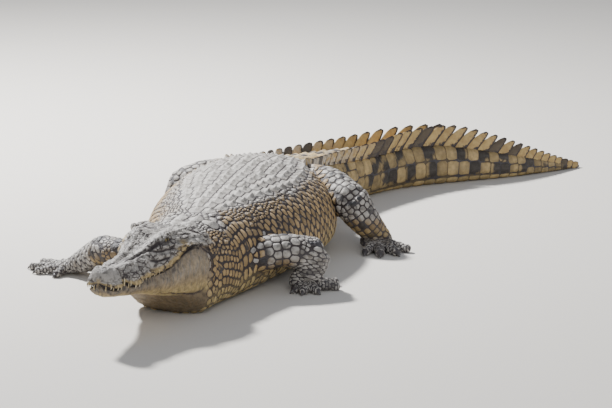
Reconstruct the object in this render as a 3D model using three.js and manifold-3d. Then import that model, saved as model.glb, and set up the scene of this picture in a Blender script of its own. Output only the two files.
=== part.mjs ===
// A Nile crocodile, 3.6 m long, resting on its belly with the head a little raised, the legs spread
// and the tail swung to its left. Millimetres, +Z up, the head towards -Y, the left side towards +X.
// The origin lies on the floor under the middle of the trunk.
import * as THREE from "three";
import { mergeVertices } from "three/addons/utils/BufferGeometryUtils.js";
import Module from "manifold-3d";

const wasm = await Module();
wasm.setup();

// ---- Driving dimensions. Places along the spine count from the middle of the trunk, tailwards.
const GAP = 0.4; // clearance between two pieces that meet
const TRUNK = 960; // shoulder joints to hip joints
const NECK = 270; // back of the skull table to the shoulder joints
const SKULL = 500; // snout's tip to the back of the skull table
const TAIL = 1870; // hip joints to the tail's tip
const SHOULDER = -TRUNK / 2;
const HIP = TRUNK / 2;
const NAPE = SHOULDER - NECK;
const TAIL_TIP = HIP + TAIL;
const TRUNK_START = SHOULDER - 40;
const NECK_START = NAPE + 56;

// The way the spine points at each place, tailwards, in degrees from +X.
const BENDS = [
  [NAPE, 81],
  [-600, 84],
  [-300, 89],
  [-100, 90],
  [500, 89],
  [750, 82],
  [950, 70],
  [1200, 60],
  [1350, 56],
  [1550, 39],
  [1750, 33],
  [1950, 37],
  [TAIL_TIP, 50],
];

// Place, half width, top, bottom, height of the widest point and squareness of the upper side.
// What lies under the floor is cut off.
const BODY = [
  [NECK_START, 162, 280, -6, 112, 2.2],
  [-600, 182, 296, -12, 112, 2.2],
  [-540, 194, 300, -14, 110, 2.2],
  [SHOULDER, 212, 306, -14, 112, 2.2],
  [-300, 262, 324, -14, 112, 2.2],
  [-100, 308, 338, -14, 108, 2.2],
  [100, 328, 343, -14, 106, 2.2],
  [250, 316, 340, -14, 108, 2.2],
  [370, 276, 328, -14, 112, 2.3],
  [HIP, 230, 308, -14, 116, 2.5],
  [600, 190, 272, -12, 116, 2.8],
  [800, 154, 235, -10, 104, 3.2],
  [1000, 126, 214, -8, 96, 3.2],
  [1300, 94, 194, -7, 84, 3],
  [1600, 68, 174, -6, 72, 2.6],
  [1800, 50, 142, -5, 56, 2.3],
  [2000, 34, 96, -4, 40, 2.2],
  [2200, 18, 48, -3, 22, 2.2],
  [TAIL_TIP, 5, 14, -2, 7, 2.2],
];
const BELLY_SQUARENESS = 2.6;
const BODY_SIDES = 20;
const RING_STEP = 110;

// The slack skin under the jaw, by the same measures.
const THROAT = [
  [NAPE - 215, 36, 172, 148, 158, 2.2],
  [NAPE - 150, 84, 168, 112, 132, 2.2],
  [NAPE - 80, 122, 150, 58, 92, 2.2],
  [NAPE - 20, 142, 150, 10, 72, 2.2],
  [NAPE + 25, 152, 160, -8, 72, 2.2],
  [NECK_START, 156, 180, -10, 80, 2.2],
];

// Head: its own frame starts on the mid-line at the back of the skull table, at the mouth's level,
// and runs forward, left and up.
const HEAD_TURN = 79; // degrees, tailwards, as the spine's bends
const HEAD_PITCH = 3.4; // degrees, nose up
const MOUTH_LEVEL = 176; // above the floor, under the back of the skull table
const HEAD_END = -78;
const HEAD_HALF_SIDES = 6;
const HEAD_STEP = 60;

// Distance forward, then half width and height of the lip, the cheek, the ridge, and the mid-line's height.
const SKULL_SECTIONS = [
  [HEAD_END, 132, -4, 130, 52, 76, 100, 106],
  [-55, 140, 20, 136, 76, 80, 112, 114],
  [-25, 142, 42, 136, 92, 80, 118, 119],
  [10, 142, 58, 134, 96, 76, 123, 119],
  [50, 138, 69, 131, 92, 70, 124, 116],
  [95, 126, 69, 116, 89, 56, 124, 112],
  [140, 117, 52, 99, 80, 48, 127, 106],
  [175, 106, 27, 90, 67, 45, 115, 98],
  [215, 95, 12, 86, 43, 40, 94, 86],
  [260, 84, 5, 80, 29, 38, 76, 72],
  [320, 76, -2, 72, 24, 34, 64, 64],
  [365, 77, -12, 71, 20, 32, 58, 58],
  [400, 66, -6, 60, 22, 30, 54, 52],
  [424, 51, 4, 48, 24, 28, 52, 50],
  [450, 60, -8, 54, 20, 30, 56, 55],
  [475, 55, -8, 50, 18, 26, 54, 54],
  [492, 34, -3, 31, 16, 17, 42, 43],
  [SKULL, 14, 4, 13, 14, 8, 28, 29],
];

// Distance forward, then half width at the lip, half width and height of the cheek, and of the chin.
const JAW_SECTIONS = [
  [HEAD_END, 126, 130, -24, 96, -80],
  [-45, 138, 146, -8, 110, -94],
  [0, 140, 150, 0, 116, -102],
  [60, 134, 146, -8, 112, -102],
  [120, 122, 134, -18, 100, -96],
  [180, 102, 112, -26, 82, -86],
  [240, 80, 90, -28, 66, -74],
  [300, 66, 75, -28, 55, -64],
  [370, 64, 68, -26, 46, -58],
  [425, 54, 58, -22, 40, -52],
  [460, 46, 54, -22, 35, -48],
  [482, 30, 40, -18, 26, -40],
  [492, 8, 16, -14, 10, -26],
];

// Eyes, in the head's frame.
const EYE = { forward: 158, side: 57, up: 98, radius: 17 };

// Teeth: distance forward and length. They lean out a little.
const UPPER_TEETH = [
  [486, 10], [468, 13], [450, 15], [398, 11], [378, 18],
  [358, 16], [336, 10], [312, 9], [290, 11], [266, 9], [242, 8],
];
const LOWER_TEETH = [
  [486, 11], [470, 9], [424, 22], [402, 9],
];
const TOOTH_SLENDERNESS = 0.27; // radius at the root over length
const TOOTH_SINK = 14;

// The crest on the tail: two rows that close on the mid-line, then one.
const CREST_START = 430;
const CREST_MERGE = 1640;
const PLATE_START = -0.5; // of its pitch, before its place
const PLATE_END = 0.33;
const PLATE_TIP = [0.45, 0.85]; // where its upper edge runs, in pitches
const PLATE_SINK = 5;
const PLATES_BEFORE = [4, 14, 25]; // ahead of the vent and of the two cuts in the tail
const CREST_PITCHES = [
  [CREST_START, 52],
  [1500, 56],
  [TAIL_TIP, 30],
];

// Place, then the plates' height and half the spread of the two rows.
const CREST_PLATES = [
  [CREST_START, 12, 152],
  [650, 20, 126],
  [850, 29, 106],
  [1050, 40, 90],
  [1250, 51, 70],
  [1450, 64, 36],
  [CREST_MERGE, 74, 8],
  [1780, 66, 0],
  [2000, 44, 0],
  [2200, 22, 0],
  [TAIL_TIP, 8, 0],
];

// Plates on the neck: place, and offsets from the mid-line.
const NECK_PLATES = [
  [SHOULDER - 178, [-36, 36]],
  [SHOULDER - 112, [-104, -36, 36, 104]],
];
const NECK_PLATE = { length: 62, height: 20, root: 27, edge: 3, lean: 0 };

// Limbs: stations of [x, y, z, half breadth, half depth], the toes' tips, and how far each claw sticks out.
const FORE_LEFT = {
  upper: [[150, -452, 130, 74, 70], [270, -402, 146, 62, 58], [358, -354, 124, 70, 64]],
  lower: [[348, -360, 84, 64, 62], [342, -370, 54, 56, 46]],
  foot: [[344, -382, 28, 62, 28], [346, -388, 22, 44, 18]],
  toes: [[310, -424], [344, -438], [390, -420], [446, -346], [424, -280]],
  thick: 17,
  claws: [26, 26, 26, 0, 0],
};
const FORE_RIGHT = {
  upper: [[-160, -470, 112, 70, 66], [-280, -424, 112, 54, 50], [-390, -372, 104, 62, 54]],
  lower: [[-440, -352, 72, 54, 50], [-500, -328, 42, 46, 36]],
  foot: [[-530, -318, 26, 52, 24], [-540, -314, 20, 38, 15]],
  toes: [[-560, -396], [-640, -362], [-680, -304], [-664, -230], [-590, -220]],
  thick: 16,
  claws: [26, 26, 26, 0, 0],
};
const HIND_LEFT = {
  upper: [[110, 500, 170, 100, 92], [250, 380, 196, 78, 84], [362, 268, 176, 70, 72]],
  lower: [[410, 280, 110, 60, 60], [452, 316, 52, 50, 44]],
  foot: [[454, 290, 30, 62, 28], [458, 268, 22, 54, 18]],
  toes: [[438, 172], [494, 160], [550, 190], [578, 252]],
  thick: 19,
  claws: [30, 30, 30, 0],
};
const HIND_RIGHT = {
  upper: [[-110, 500, 170, 100, 92], [-210, 410, 200, 78, 84], [-286, 340, 192, 72, 74]],
  lower: [[-340, 400, 112, 58, 58], [-366, 440, 52, 50, 44]],
  foot: [[-382, 412, 30, 58, 28], [-392, 392, 22, 52, 18]],
  toes: [[-372, 296], [-424, 284], [-476, 306], [-506, 362]],
  thick: 19,
  claws: [30, 30, 30, 0],
};
const LIMB_SIDES = 10;
const TOE_SIDES = 5;
const CLAW_SIDES = 3;
const TOE_ROOT = 0.25; // of the way from the knuckles to the tip
const TOE_ARCH = 0.45; // the rest of a toe in shares of its thickness
const TOE_TIP = 0.62;
const CLAW_ROOT = 0.42;

// ---- Small mathematics.

/** The row of values that a table of [place, ...values] gives at a place, on a smooth curve. */
function along(table, place) {
  const last = table.length - 1;
  const x = THREE.MathUtils.clamp(place, table[0][0], table[last][0]);
  let i = 0;
  while (i < last - 1 && x > table[i + 1][0]) i += 1;
  const [before, a, b, after] = [table[Math.max(0, i - 1)], table[i], table[i + 1], table[Math.min(last, i + 2)]];
  const span = b[0] - a[0];
  const t = (x - a[0]) / span;
  return a.slice(1).map((start, k) => {
    const c = k + 1;
    const slopeA = (span * (b[c] - before[c])) / (b[0] - before[0]);
    const slopeB = (span * (after[c] - a[c])) / (after[0] - a[0]);
    const rise = b[c] - start;
    return start + t * (slopeA + t * (3 * rise - 2 * slopeA - slopeB + t * (slopeA + slopeB - 2 * rise)));
  });
}

/** A level unit vector that points a number of degrees round from +X. */
function heading(degrees) {
  const angle = THREE.MathUtils.degToRad(degrees);
  return new THREE.Vector3(Math.cos(angle), Math.sin(angle), 0);
}

/** The spine's point on the floor at a place, with the ways tailwards and to the left there. */
function spineAt(place) {
  const steps = Math.max(1, Math.round(Math.abs(place) / 20));
  const step = place / steps;
  const point = new THREE.Vector3();
  for (let i = 0; i < steps; i += 1) {
    point.addScaledVector(heading(along(BENDS, (i + 0.5) * step)[0]), step);
  }
  const [bend] = along(BENDS, place);
  return { point, tailward: heading(bend), left: heading(bend - 90) };
}

/** Evenly spread values from start to end, no further apart than step. */
function stations(start, end, step) {
  const count = Math.max(1, Math.ceil(Math.abs(end - start) / step));
  return Array.from({ length: count + 1 }, (_, i) => start + ((end - start) * i) / count);
}

// ---- Finishes, and the model that the solids are added to.

const hide = new THREE.MeshStandardMaterial({ color: 0x8c7a58, roughness: 0.7, metalness: 0 });
const darkHide = new THREE.MeshStandardMaterial({ color: 0x55504c, roughness: 0.7, metalness: 0 });
const paleHide = new THREE.MeshStandardMaterial({ color: 0xb59d6a, roughness: 0.7, metalness: 0 });
const eyeGloss = new THREE.MeshStandardMaterial({ color: 0x2a2014, roughness: 0.15, metalness: 0 });

const group = new THREE.Group();

// ---- Solids.

/** A solid from a closed three.js geometry. */
function solidOf(geometry) {
  const bare = geometry.clone();
  bare.deleteAttribute("normal");
  bare.deleteAttribute("uv");
  const merged = mergeVertices(bare, 1e-3);
  const vertProperties = new Float32Array(merged.attributes.position.array);
  const triVerts = new Uint32Array(merged.index.array);
  return new wasm.Manifold(new wasm.Mesh({ numProp: 3, vertProperties, triVerts }));
}

/** A solid that runs through closed rings of equally many points, with flat ends. */
function loft(rings) {
  const sides = rings[0].length;
  const positions = rings.flat().flatMap((p) => [p.x, p.y, p.z]);
  const faces = [];
  for (let i = 0; i < rings.length - 1; i += 1) {
    for (let j = 0; j < sides; j += 1) {
      const [a, b] = [i * sides + j, i * sides + ((j + 1) % sides)];
      faces.push(a, b, a + sides, b, b + sides, a + sides);
    }
  }
  const last = (rings.length - 1) * sides;
  for (let j = 1; j < sides - 1; j += 1) {
    faces.push(0, j + 1, j, last, last + j, last + j + 1);
  }
  const geometry = new THREE.BufferGeometry();
  geometry.setAttribute("position", new THREE.Float32BufferAttribute(positions, 3));
  geometry.setIndex(signedVolume(positions, faces) < 0 ? faces.reverse() : faces);
  return solidOf(geometry);
}

/** Six times the volume that triangles enclose, below zero where they face inwards. */
function signedVolume(positions, faces) {
  const corner = (i) => new THREE.Vector3().fromArray(positions, 3 * i);
  let sum = 0;
  for (let i = 0; i < faces.length; i += 3) {
    sum += corner(faces[i]).dot(corner(faces[i + 1]).cross(corner(faces[i + 2])));
  }
  return sum;
}

/** One solid of many. */
function joined(solids) {
  return solids.reduce((sum, solid) => sum.add(solid));
}

/** Points of a ring on the body's rounded section at a place. */
function bodyRing(table, place, grow = 0) {
  const [half, top, bottom, widest, squareness] = along(table, place);
  const { point, left } = spineAt(place);
  return Array.from({ length: BODY_SIDES }, (_, i) => {
    const angle = (2 * Math.PI * (i + 0.5)) / BODY_SIDES;
    const [across, up] = [Math.cos(angle), Math.sin(angle)];
    const power = 2 / (up > 0 ? squareness : BELLY_SQUARENESS);
    const reach = up > 0 ? top + grow - widest : widest - bottom + grow;
    const z = widest + reach * Math.sign(up) * Math.abs(up) ** power;
    const offset = (half + grow) * Math.sign(across) * Math.abs(across) ** power;
    return point.clone().addScaledVector(left, offset).setZ(Math.max(0, z));
  });
}

/** A length of the body between two places. */
function bodyLength(start, end, { table = BODY, grow = 0 } = {}) {
  return loft(stations(start, end, RING_STEP).map((place) => bodyRing(table, place, grow)));
}

// ---- The head.

const snoutward = heading(HEAD_TURN + 180).multiplyScalar(Math.cos(THREE.MathUtils.degToRad(HEAD_PITCH)));
snoutward.z = Math.sin(THREE.MathUtils.degToRad(HEAD_PITCH));
const headLeft = heading(HEAD_TURN - 90);
const headUp = new THREE.Vector3().crossVectors(headLeft, snoutward).negate();
const headBase = spineAt(NAPE).point.setZ(MOUTH_LEVEL);

/** A point of the head's own frame. */
function inHead(forward, side, up) {
  return headBase
    .clone()
    .addScaledVector(snoutward, forward)
    .addScaledVector(headLeft, side)
    .addScaledVector(headUp, up);
}

/** A head section: one half's outline from the mid-line to the lip, swollen, mirrored and closed flat. */
function headRing(forward, halfOutline, swell) {
  const curve = new THREE.CatmullRomCurve3(
    halfOutline.map(([side, up]) => new THREE.Vector3(side, up, 0)),
    false,
    "centripetal",
  );
  const half = Array.from({ length: HEAD_HALF_SIDES + 1 }, (_, i) => {
    const [point, way] = [curve.getPoint(i / HEAD_HALF_SIDES), curve.getTangent(i / HEAD_HALF_SIDES)];
    return point.add(new THREE.Vector3(-way.y, way.x, 0).multiplyScalar(swell));
  });
  const left = half.map((p) => inHead(forward, p.x, p.y));
  const right = half.slice(1).reverse().map((p) => inHead(forward, -p.x, p.y));
  return [...left, ...right];
}

/** The lip's height at a distance forward. */
const lipAt = (forward) => along(SKULL_SECTIONS, forward)[1];

/** The places of the skull's rows, with more between rows that lie far apart. The jaw shares them. */
const headPlaces = SKULL_SECTIONS.flatMap(([place], i) =>
  i ? stations(SKULL_SECTIONS[i - 1][0], place, HEAD_STEP).slice(1) : [place],
);

/** Places with one more before the first, further back by a clearance. */
const placesGrown = (places, grow) => (grow ? [places[0] - grow, ...places] : places);

/** The skull and upper jaw, grown by a clearance where something else is cut to it. */
function upperHead(grow = 0) {
  const rings = placesGrown(headPlaces, grow).map((forward) => {
    const [lipHalf, lip, cheekHalf, cheek, ridgeHalf, ridge, middle] = along(SKULL_SECTIONS, forward);
    const outline = [[0, middle], [ridgeHalf, ridge], [cheekHalf, cheek], [lipHalf, lip - grow]];
    return headRing(forward, outline, grow);
  });
  return loft(rings);
}

/** The lower jaw with its cheeks. */
function lowerJaw(grow = 0) {
  const rings = placesGrown(headPlaces.slice(0, -1), grow).map((forward) => {
    const [lipHalf, cheekHalf, cheek, chinHalf, chin] = along(JAW_SECTIONS, forward);
    const lip = lipAt(forward) - GAP;
    const outline = [[0, chin], [chinHalf, chin + 8], [cheekHalf, cheek], [lipHalf, lip + grow]];
    return headRing(forward, outline, -grow);
  });
  return loft(rings);
}

/** Cone-shaped teeth down both sides of a jaw. */
function teeth(rows, { up, sideOf, heightOf, grow = 0 }) {
  const cones = rows.flatMap(([forward, length]) =>
    [-1, 1].map((side) => {
      const radius = Math.max(3, TOOTH_SLENDERNESS * length) + grow;
      const cone = new THREE.ConeGeometry(radius, length + TOOTH_SINK + grow, 4);
      cone.rotateX(up ? Math.PI / 2 : -Math.PI / 2);
      const middle = heightOf(forward) + (up ? 1 : -1) * ((length + grow - TOOTH_SINK) / 2);
      const frame = new THREE.Matrix4().makeBasis(headLeft, snoutward.clone().negate(), headUp);
      frame.setPosition(inHead(forward, side * sideOf(forward), middle));
      return solidOf(cone.applyMatrix4(frame));
    }),
  );
  return joined(cones);
}

const upperTeethPlace = {
  up: false,
  sideOf: (forward) => along(SKULL_SECTIONS, forward)[0] - 5,
  heightOf: (forward) => lipAt(forward),
};
const lowerTeethPlace = {
  up: true,
  sideOf: (forward) => along(JAW_SECTIONS, forward)[0] - 2,
  heightOf: (forward) => lipAt(forward),
};

/** A ball for one eye, on the side that the sign gives. */
function eyeball(side, grow = 0) {
  const ball = new THREE.SphereGeometry(EYE.radius + grow, 10, 7);
  const { x, y, z } = inHead(EYE.forward, side * EYE.side, EYE.up);
  return solidOf(ball.translate(x, y, z));
}

// ---- Crest and neck plates.

/** Height of the body's upper surface at a place, some way to the side of its mid-line. */
function backHeight(place, offset) {
  const [half, top, , widest, squareness] = along(BODY, place);
  const share = Math.min(1, Math.abs(offset) / half);
  return widest + (top - widest) * (1 - share ** squareness) ** (1 / squareness);
}

/** A keeled plate that leans back from a long root on the body. */
function plate(place, { length, height, offset, root = 9, edge = 3, lean = 0.25 }) {
  const { point, tailward, left } = spineAt(place);
  const outwards = (lean * offset) / 100;
  const level = ([from, fromUp], [to, toUp], half) =>
    [
      [from, fromUp, -half],
      [to, toUp, -half],
      [to, toUp, half],
      [from, fromUp, half],
    ].map(([share, up, across]) =>
      point
        .clone()
        .addScaledVector(tailward, share * length)
        .addScaledVector(left, offset + across + outwards * up)
        .setZ(backHeight(place + Math.min(share, PLATE_END) * length, offset) + up),
    );
  const onBody = level([PLATE_START, -PLATE_SINK], [PLATE_END, -0.25 * PLATE_SINK], root);
  return loft([onBody, level([PLATE_TIP[0], height], [PLATE_TIP[1], height], edge)]);
}

/** Places of the crest's plates, closer together towards the tail's tip. */
const crestPlaces = [];
for (let place = CREST_START; place < TAIL_TIP - 20; place += along(CREST_PITCHES, place)[0]) {
  crestPlaces.push(place);
}

/** The place midway between a plate's root and the next, where a length of the tail can end. */
function behindPlate(index) {
  const place = crestPlaces[index];
  return place + ((PLATE_END + 1 + PLATE_START) / 2) * along(CREST_PITCHES, place)[0];
}

/** The plates of the crest from one to before another. */
function crest(first, last) {
  const plates = crestPlaces.slice(first, last).flatMap((place) => {
    const [height, spread] = along(CREST_PLATES, place);
    const [length] = along(CREST_PITCHES, place);
    const sides = place < CREST_MERGE ? [-1, 1] : [0];
    return sides.map((side) => plate(place, { length, height, offset: side * spread }));
  });
  return joined(plates);
}

/** The shield of large plates on the neck. */
function neckShield() {
  const plates = NECK_PLATES.flatMap(([place, offsets]) =>
    offsets.map((offset) => plate(place, { ...NECK_PLATE, offset })),
  );
  return joined(plates);
}

// ---- Limbs.

const ground = solidOf(new THREE.BoxGeometry(9000, 9000, 400).translate(0, 0, -200));

/** Rings of a limb about its stations of [x, y, z, half breadth, half depth]. */
function limbRings(stationsOf, { sides = LIMB_SIDES, grow = 0 } = {}) {
  const points = stationsOf.map(([x, y, z]) => new THREE.Vector3(x, y, z));
  const ways = points.slice(1).map((p, i) => p.clone().sub(points[i]).normalize());
  const normals = points.map((_, i) => {
    const sum = new THREE.Vector3();
    if (i > 0) sum.add(ways[i - 1]);
    if (i < ways.length) sum.add(ways[i]);
    return sum.normalize();
  });
  const depthWay = new THREE.Vector3(0, 0, 1).projectOnPlane(normals[0]).normalize();
  return points.map((centre, i) => {
    if (i > 0) {
      const turn = new THREE.Quaternion().setFromUnitVectors(normals[i - 1], normals[i]);
      depthWay.applyQuaternion(turn);
    }
    const breadthWay = new THREE.Vector3().crossVectors(depthWay, normals[i]);
    const [, , , breadth, depth] = stationsOf[i];
    if (i === points.length - 1) centre.addScaledVector(normals[i], grow);
    return Array.from({ length: sides }, (_, k) => {
      const angle = (2 * Math.PI * k) / sides;
      return centre
        .clone()
        .addScaledVector(breadthWay, (breadth + grow) * Math.cos(angle))
        .addScaledVector(depthWay, (depth + grow) * Math.sin(angle));
    });
  });
}

/** Stations with one more past the last, which rounds the end off, by shares of its half depth. */
function roundedOff(stationsOf, reach, narrowing) {
  const [last, before] = [stationsOf[stationsOf.length - 1], stationsOf[stationsOf.length - 2]];
  const [x, y, z, breadth, depth] = last;
  const way = new THREE.Vector3(x - before[0], y - before[1], z - before[2]).setLength(reach * depth);
  return [...stationsOf, [x + way.x, y + way.y, z + way.z, narrowing * breadth, narrowing * depth]];
}

/** A toe from its root to its tip, with a claw where it has one. */
function toe(root, tip, thick, claw) {
  const arch = root.clone().lerp(tip, 0.5);
  arch.z += thick * TOE_ARCH;
  const digit = loft(
    limbRings(
      [
        [...root.toArray(), thick, thick],
        [...arch.toArray(), thick * 0.95, thick * 0.95],
        [...tip.toArray(), thick * 0.6, thick * 0.55],
      ],
      { sides: TOE_SIDES },
    ),
  );
  if (!claw) return digit;
  const way = tip.clone().sub(root).setZ(0).normalize();
  const clawRoot = tip.clone().addScaledVector(way, -thick * 0.6);
  clawRoot.z += 3;
  const clawTip = tip.clone().addScaledVector(way, claw).setZ(2);
  const clawRings = limbRings(
    [
      [...clawRoot.toArray(), thick * CLAW_ROOT, thick * CLAW_ROOT],
      [...clawTip.toArray(), 1.2, 1.6],
    ],
    { sides: CLAW_SIDES },
  );
  return digit.add(loft(clawRings));
}

/** A whole limb in three named pieces, each cut to the one before, and all to the body and the floor. */
function addLimb(names, { upper, lower, foot, toes, thick, claws }) {
  const around = bodyRoom.add(ground);
  const upperStations = roundedOff(upper, 0.62, 0.6);
  const lowerStations = roundedOff([upper[upper.length - 1], ...lower], 0.25, 0.8);
  const footStations = [lower[lower.length - 1], ...foot];
  const swollenUpper = loft(limbRings(upperStations, { grow: GAP }));
  const swollenLower = loft(limbRings(lowerStations, { grow: GAP }));
  const knuckles = new THREE.Vector3(...foot[foot.length - 2]).setZ(thick);
  const digits = toes.map(([x, y], i) => {
    const root = knuckles.clone().lerp(new THREE.Vector3(x, y, thick), TOE_ROOT);
    return toe(root, new THREE.Vector3(x, y, thick * TOE_TIP), thick, claws[i]);
  });
  const paw = joined([loft(limbRings(footStations)), ...digits]);
  addNode(names[0], loft(limbRings(upperStations)).subtract(around), hide);
  addNode(names[1], loft(limbRings(lowerStations)).subtract(around).subtract(swollenUpper), hide);
  addNode(names[2], paw.subtract(around).subtract(swollenLower), darkHide);
}

/** Adds a solid to the model as a named mesh. */
function addNode(name, solid, material) {
  const { vertProperties, numProp, triVerts } = solid.getMesh();
  const geometry = new THREE.BufferGeometry();
  geometry.setAttribute("position", new THREE.BufferAttribute(vertProperties, numProp));
  geometry.setIndex(new THREE.BufferAttribute(triVerts, 1));
  geometry.computeVertexNormals();
  const mesh = new THREE.Mesh(geometry, material);
  mesh.name = name;
  group.add(mesh);
}

const skull = upperHead().add(teeth(UPPER_TEETH, upperTeethPlace));
const jaw = lowerJaw().add(teeth(LOWER_TEETH, lowerTeethPlace));
const eyes = joined([-1, 1].map((side) => eyeball(side, GAP)));
addNode("head", skull.subtract(teeth(LOWER_TEETH, { ...lowerTeethPlace, grow: GAP })).subtract(eyes), hide);
addNode("lower_jaw", jaw.subtract(teeth(UPPER_TEETH, { ...upperTeethPlace, grow: GAP })), paleHide);
addNode("eye_left", eyeball(1), eyeGloss);
addNode("eye_right", eyeball(-1), eyeGloss);

const headRoom = lowerJaw(2 * GAP).add(upperHead(2 * GAP));
const throat = bodyLength(THROAT[0][0], NECK_START - GAP, { table: THROAT });
const neck = bodyLength(NECK_START, TRUNK_START - GAP).add(neckShield());
addNode("throat", throat.subtract(headRoom), paleHide);
addNode("neck", neck.subtract(headRoom), hide);

const cuts = PLATES_BEFORE.map((count) => behindPlate(count - 1));
addNode("trunk", bodyLength(TRUNK_START, cuts[0] - GAP).add(crest(0, PLATES_BEFORE[0])), hide);
["tail_base", "tail_middle", "tail_end"].forEach((name, i) => {
  const stop = i < 2 ? cuts[i + 1] - GAP : TAIL_TIP;
  addNode(name, bodyLength(cuts[i], stop).add(crest(PLATES_BEFORE[i], PLATES_BEFORE[i + 1])), hide);
});

// Room for the body, which the limbs are cut to: its lengths, and a bridge over each cut.
const BRIDGE = 6;
const swollen = { grow: 2 * GAP };
const bodyRoom = joined([
  bodyLength(NECK_START, TRUNK_START - GAP, swollen),
  bodyLength(TRUNK_START - BRIDGE, TRUNK_START + BRIDGE, swollen),
  bodyLength(TRUNK_START, cuts[0] - GAP, swollen),
  bodyLength(cuts[0] - BRIDGE, cuts[0] + BRIDGE, swollen),
  bodyLength(cuts[0], cuts[1] - GAP, swollen),
]);

addLimb(["upper_arm_left", "forearm_left", "hand_left"], FORE_LEFT);
addLimb(["upper_arm_right", "forearm_right", "hand_right"], FORE_RIGHT);
addLimb(["thigh_left", "shank_left", "foot_left"], HIND_LEFT);
addLimb(["thigh_right", "shank_right", "foot_right"], HIND_RIGHT);

export default group;
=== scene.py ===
"""A grown Nile crocodile at rest, life size: one skin, a coat of scales, crest, teeth, claws and eyes.

The forms repeat the solids' named sizes, in millimetres, and every mesh is made in metres in the
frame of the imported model: head towards -Y, the animal's left towards +X, the floor at z = 0.
"""

from __future__ import annotations

import logging
import math
from collections.abc import Callable
from dataclasses import dataclass, field, replace
from enum import Enum

import bmesh
import bpy
import numpy as np
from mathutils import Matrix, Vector
from mathutils.bvhtree import BVHTree
from mathutils.kdtree import KDTree

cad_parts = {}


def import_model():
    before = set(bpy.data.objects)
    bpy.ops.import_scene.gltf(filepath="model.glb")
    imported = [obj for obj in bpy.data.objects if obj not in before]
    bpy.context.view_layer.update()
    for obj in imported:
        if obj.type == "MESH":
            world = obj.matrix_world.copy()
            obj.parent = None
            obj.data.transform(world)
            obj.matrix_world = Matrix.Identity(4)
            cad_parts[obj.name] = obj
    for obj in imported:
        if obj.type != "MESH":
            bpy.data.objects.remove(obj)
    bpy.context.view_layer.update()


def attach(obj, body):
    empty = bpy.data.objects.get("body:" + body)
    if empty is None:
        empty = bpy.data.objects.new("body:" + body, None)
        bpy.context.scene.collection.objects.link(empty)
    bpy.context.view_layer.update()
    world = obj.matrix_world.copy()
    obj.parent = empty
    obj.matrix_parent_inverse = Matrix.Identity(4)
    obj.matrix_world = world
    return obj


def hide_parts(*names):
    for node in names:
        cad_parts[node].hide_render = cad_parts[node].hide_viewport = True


LOG = logging.getLogger("crocodile")
Array = np.ndarray
MM = 0.001
BODY_NAME = "root"
BODY_NODES = ("head", "lower_jaw", "throat", "neck", "trunk", "tail_base", "tail_middle", "tail_end")


# ---- Small mathematics.


def along(table: tuple, places: Array) -> Array:
    """Rows of values that a table of (place, values...) gives at places, on smooth curves.

    Args:
        table: Rows in rising order of place.
        places: Where to read the table.

    Returns:
        One row of values for each place.
    """
    rows = np.asarray(table, float)
    last = len(rows) - 1
    x = np.clip(np.asarray(places, float), rows[0, 0], rows[last, 0])
    i = np.clip(np.searchsorted(rows[:, 0], x, side="right") - 1, 0, last - 1)
    before, a, b, after = rows[np.maximum(i - 1, 0)], rows[i], rows[i + 1], rows[np.minimum(i + 2, last)]
    span = (b - a)[..., :1]
    t = (x[..., None] - a[..., :1]) / span
    slope_a = span * (b - before) / (b - before)[..., :1]
    slope_b = span * (after - a) / (after - a)[..., :1]
    rise = b - a
    curve = a + t * (slope_a + t * (3 * rise - 2 * slope_a - slope_b + t * (slope_a + slope_b - 2 * rise)))
    return curve[..., 1:]


def row_at(table: tuple, place: float) -> Array:
    """The row of values that a table gives at one place."""
    return along(table, np.array([place]))[0]


def paced(first: float, last: float, stride: Callable[[float], float]) -> list[float]:
    """Places from first up to last, each one a stride beyond the one before it.

    Args:
        first: The first place.
        last: Where the places end.
        stride: Gives the distance from a place to the next.

    Returns:
        The places.
    """
    found, place = [], first
    while place < last:
        found.append(place)
        place += stride(place)
    return found


def run_of(line: Array) -> Array:
    """Distances along a line of points, from nought at its first."""
    return np.concatenate([[0], np.cumsum(np.linalg.norm(np.diff(line, axis=0), axis=1))])


def unit(vectors: Array) -> Array:
    """Vectors scaled to length one."""
    return vectors / np.maximum(np.linalg.norm(vectors, axis=-1, keepdims=True), 1e-12)


def step(low: float, high: float, x: Array) -> Array:
    """A smooth rise from 0 at low to 1 at high, or a fall where low is above high."""
    t = np.clip((x - low) / (high - low), 0.0, 1.0)
    return t * t * (3 - 2 * t)


def hill(x: Array, middle: float, half: float) -> Array:
    """A smooth hill of height one about a middle, gone at half a width from it."""
    return step(1.0, 0.0, np.abs(x - middle) / half)


def bell(x: Array) -> Array:
    """A bell curve of height one about nought, down to about a third at one."""
    return np.exp(-(x**2))


def blend(first: Array, second: Array, share: Array) -> Array:
    """The first values where share is 0, the second where it is 1."""
    return first * (1 - share) + second * share


def heading(degrees: Array | float) -> Array:
    """Level unit vectors that point a number of degrees round from +X."""
    angle = np.radians(np.asarray(degrees, float))
    return np.stack([np.cos(angle), np.sin(angle), np.zeros_like(angle)], axis=-1)


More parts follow.
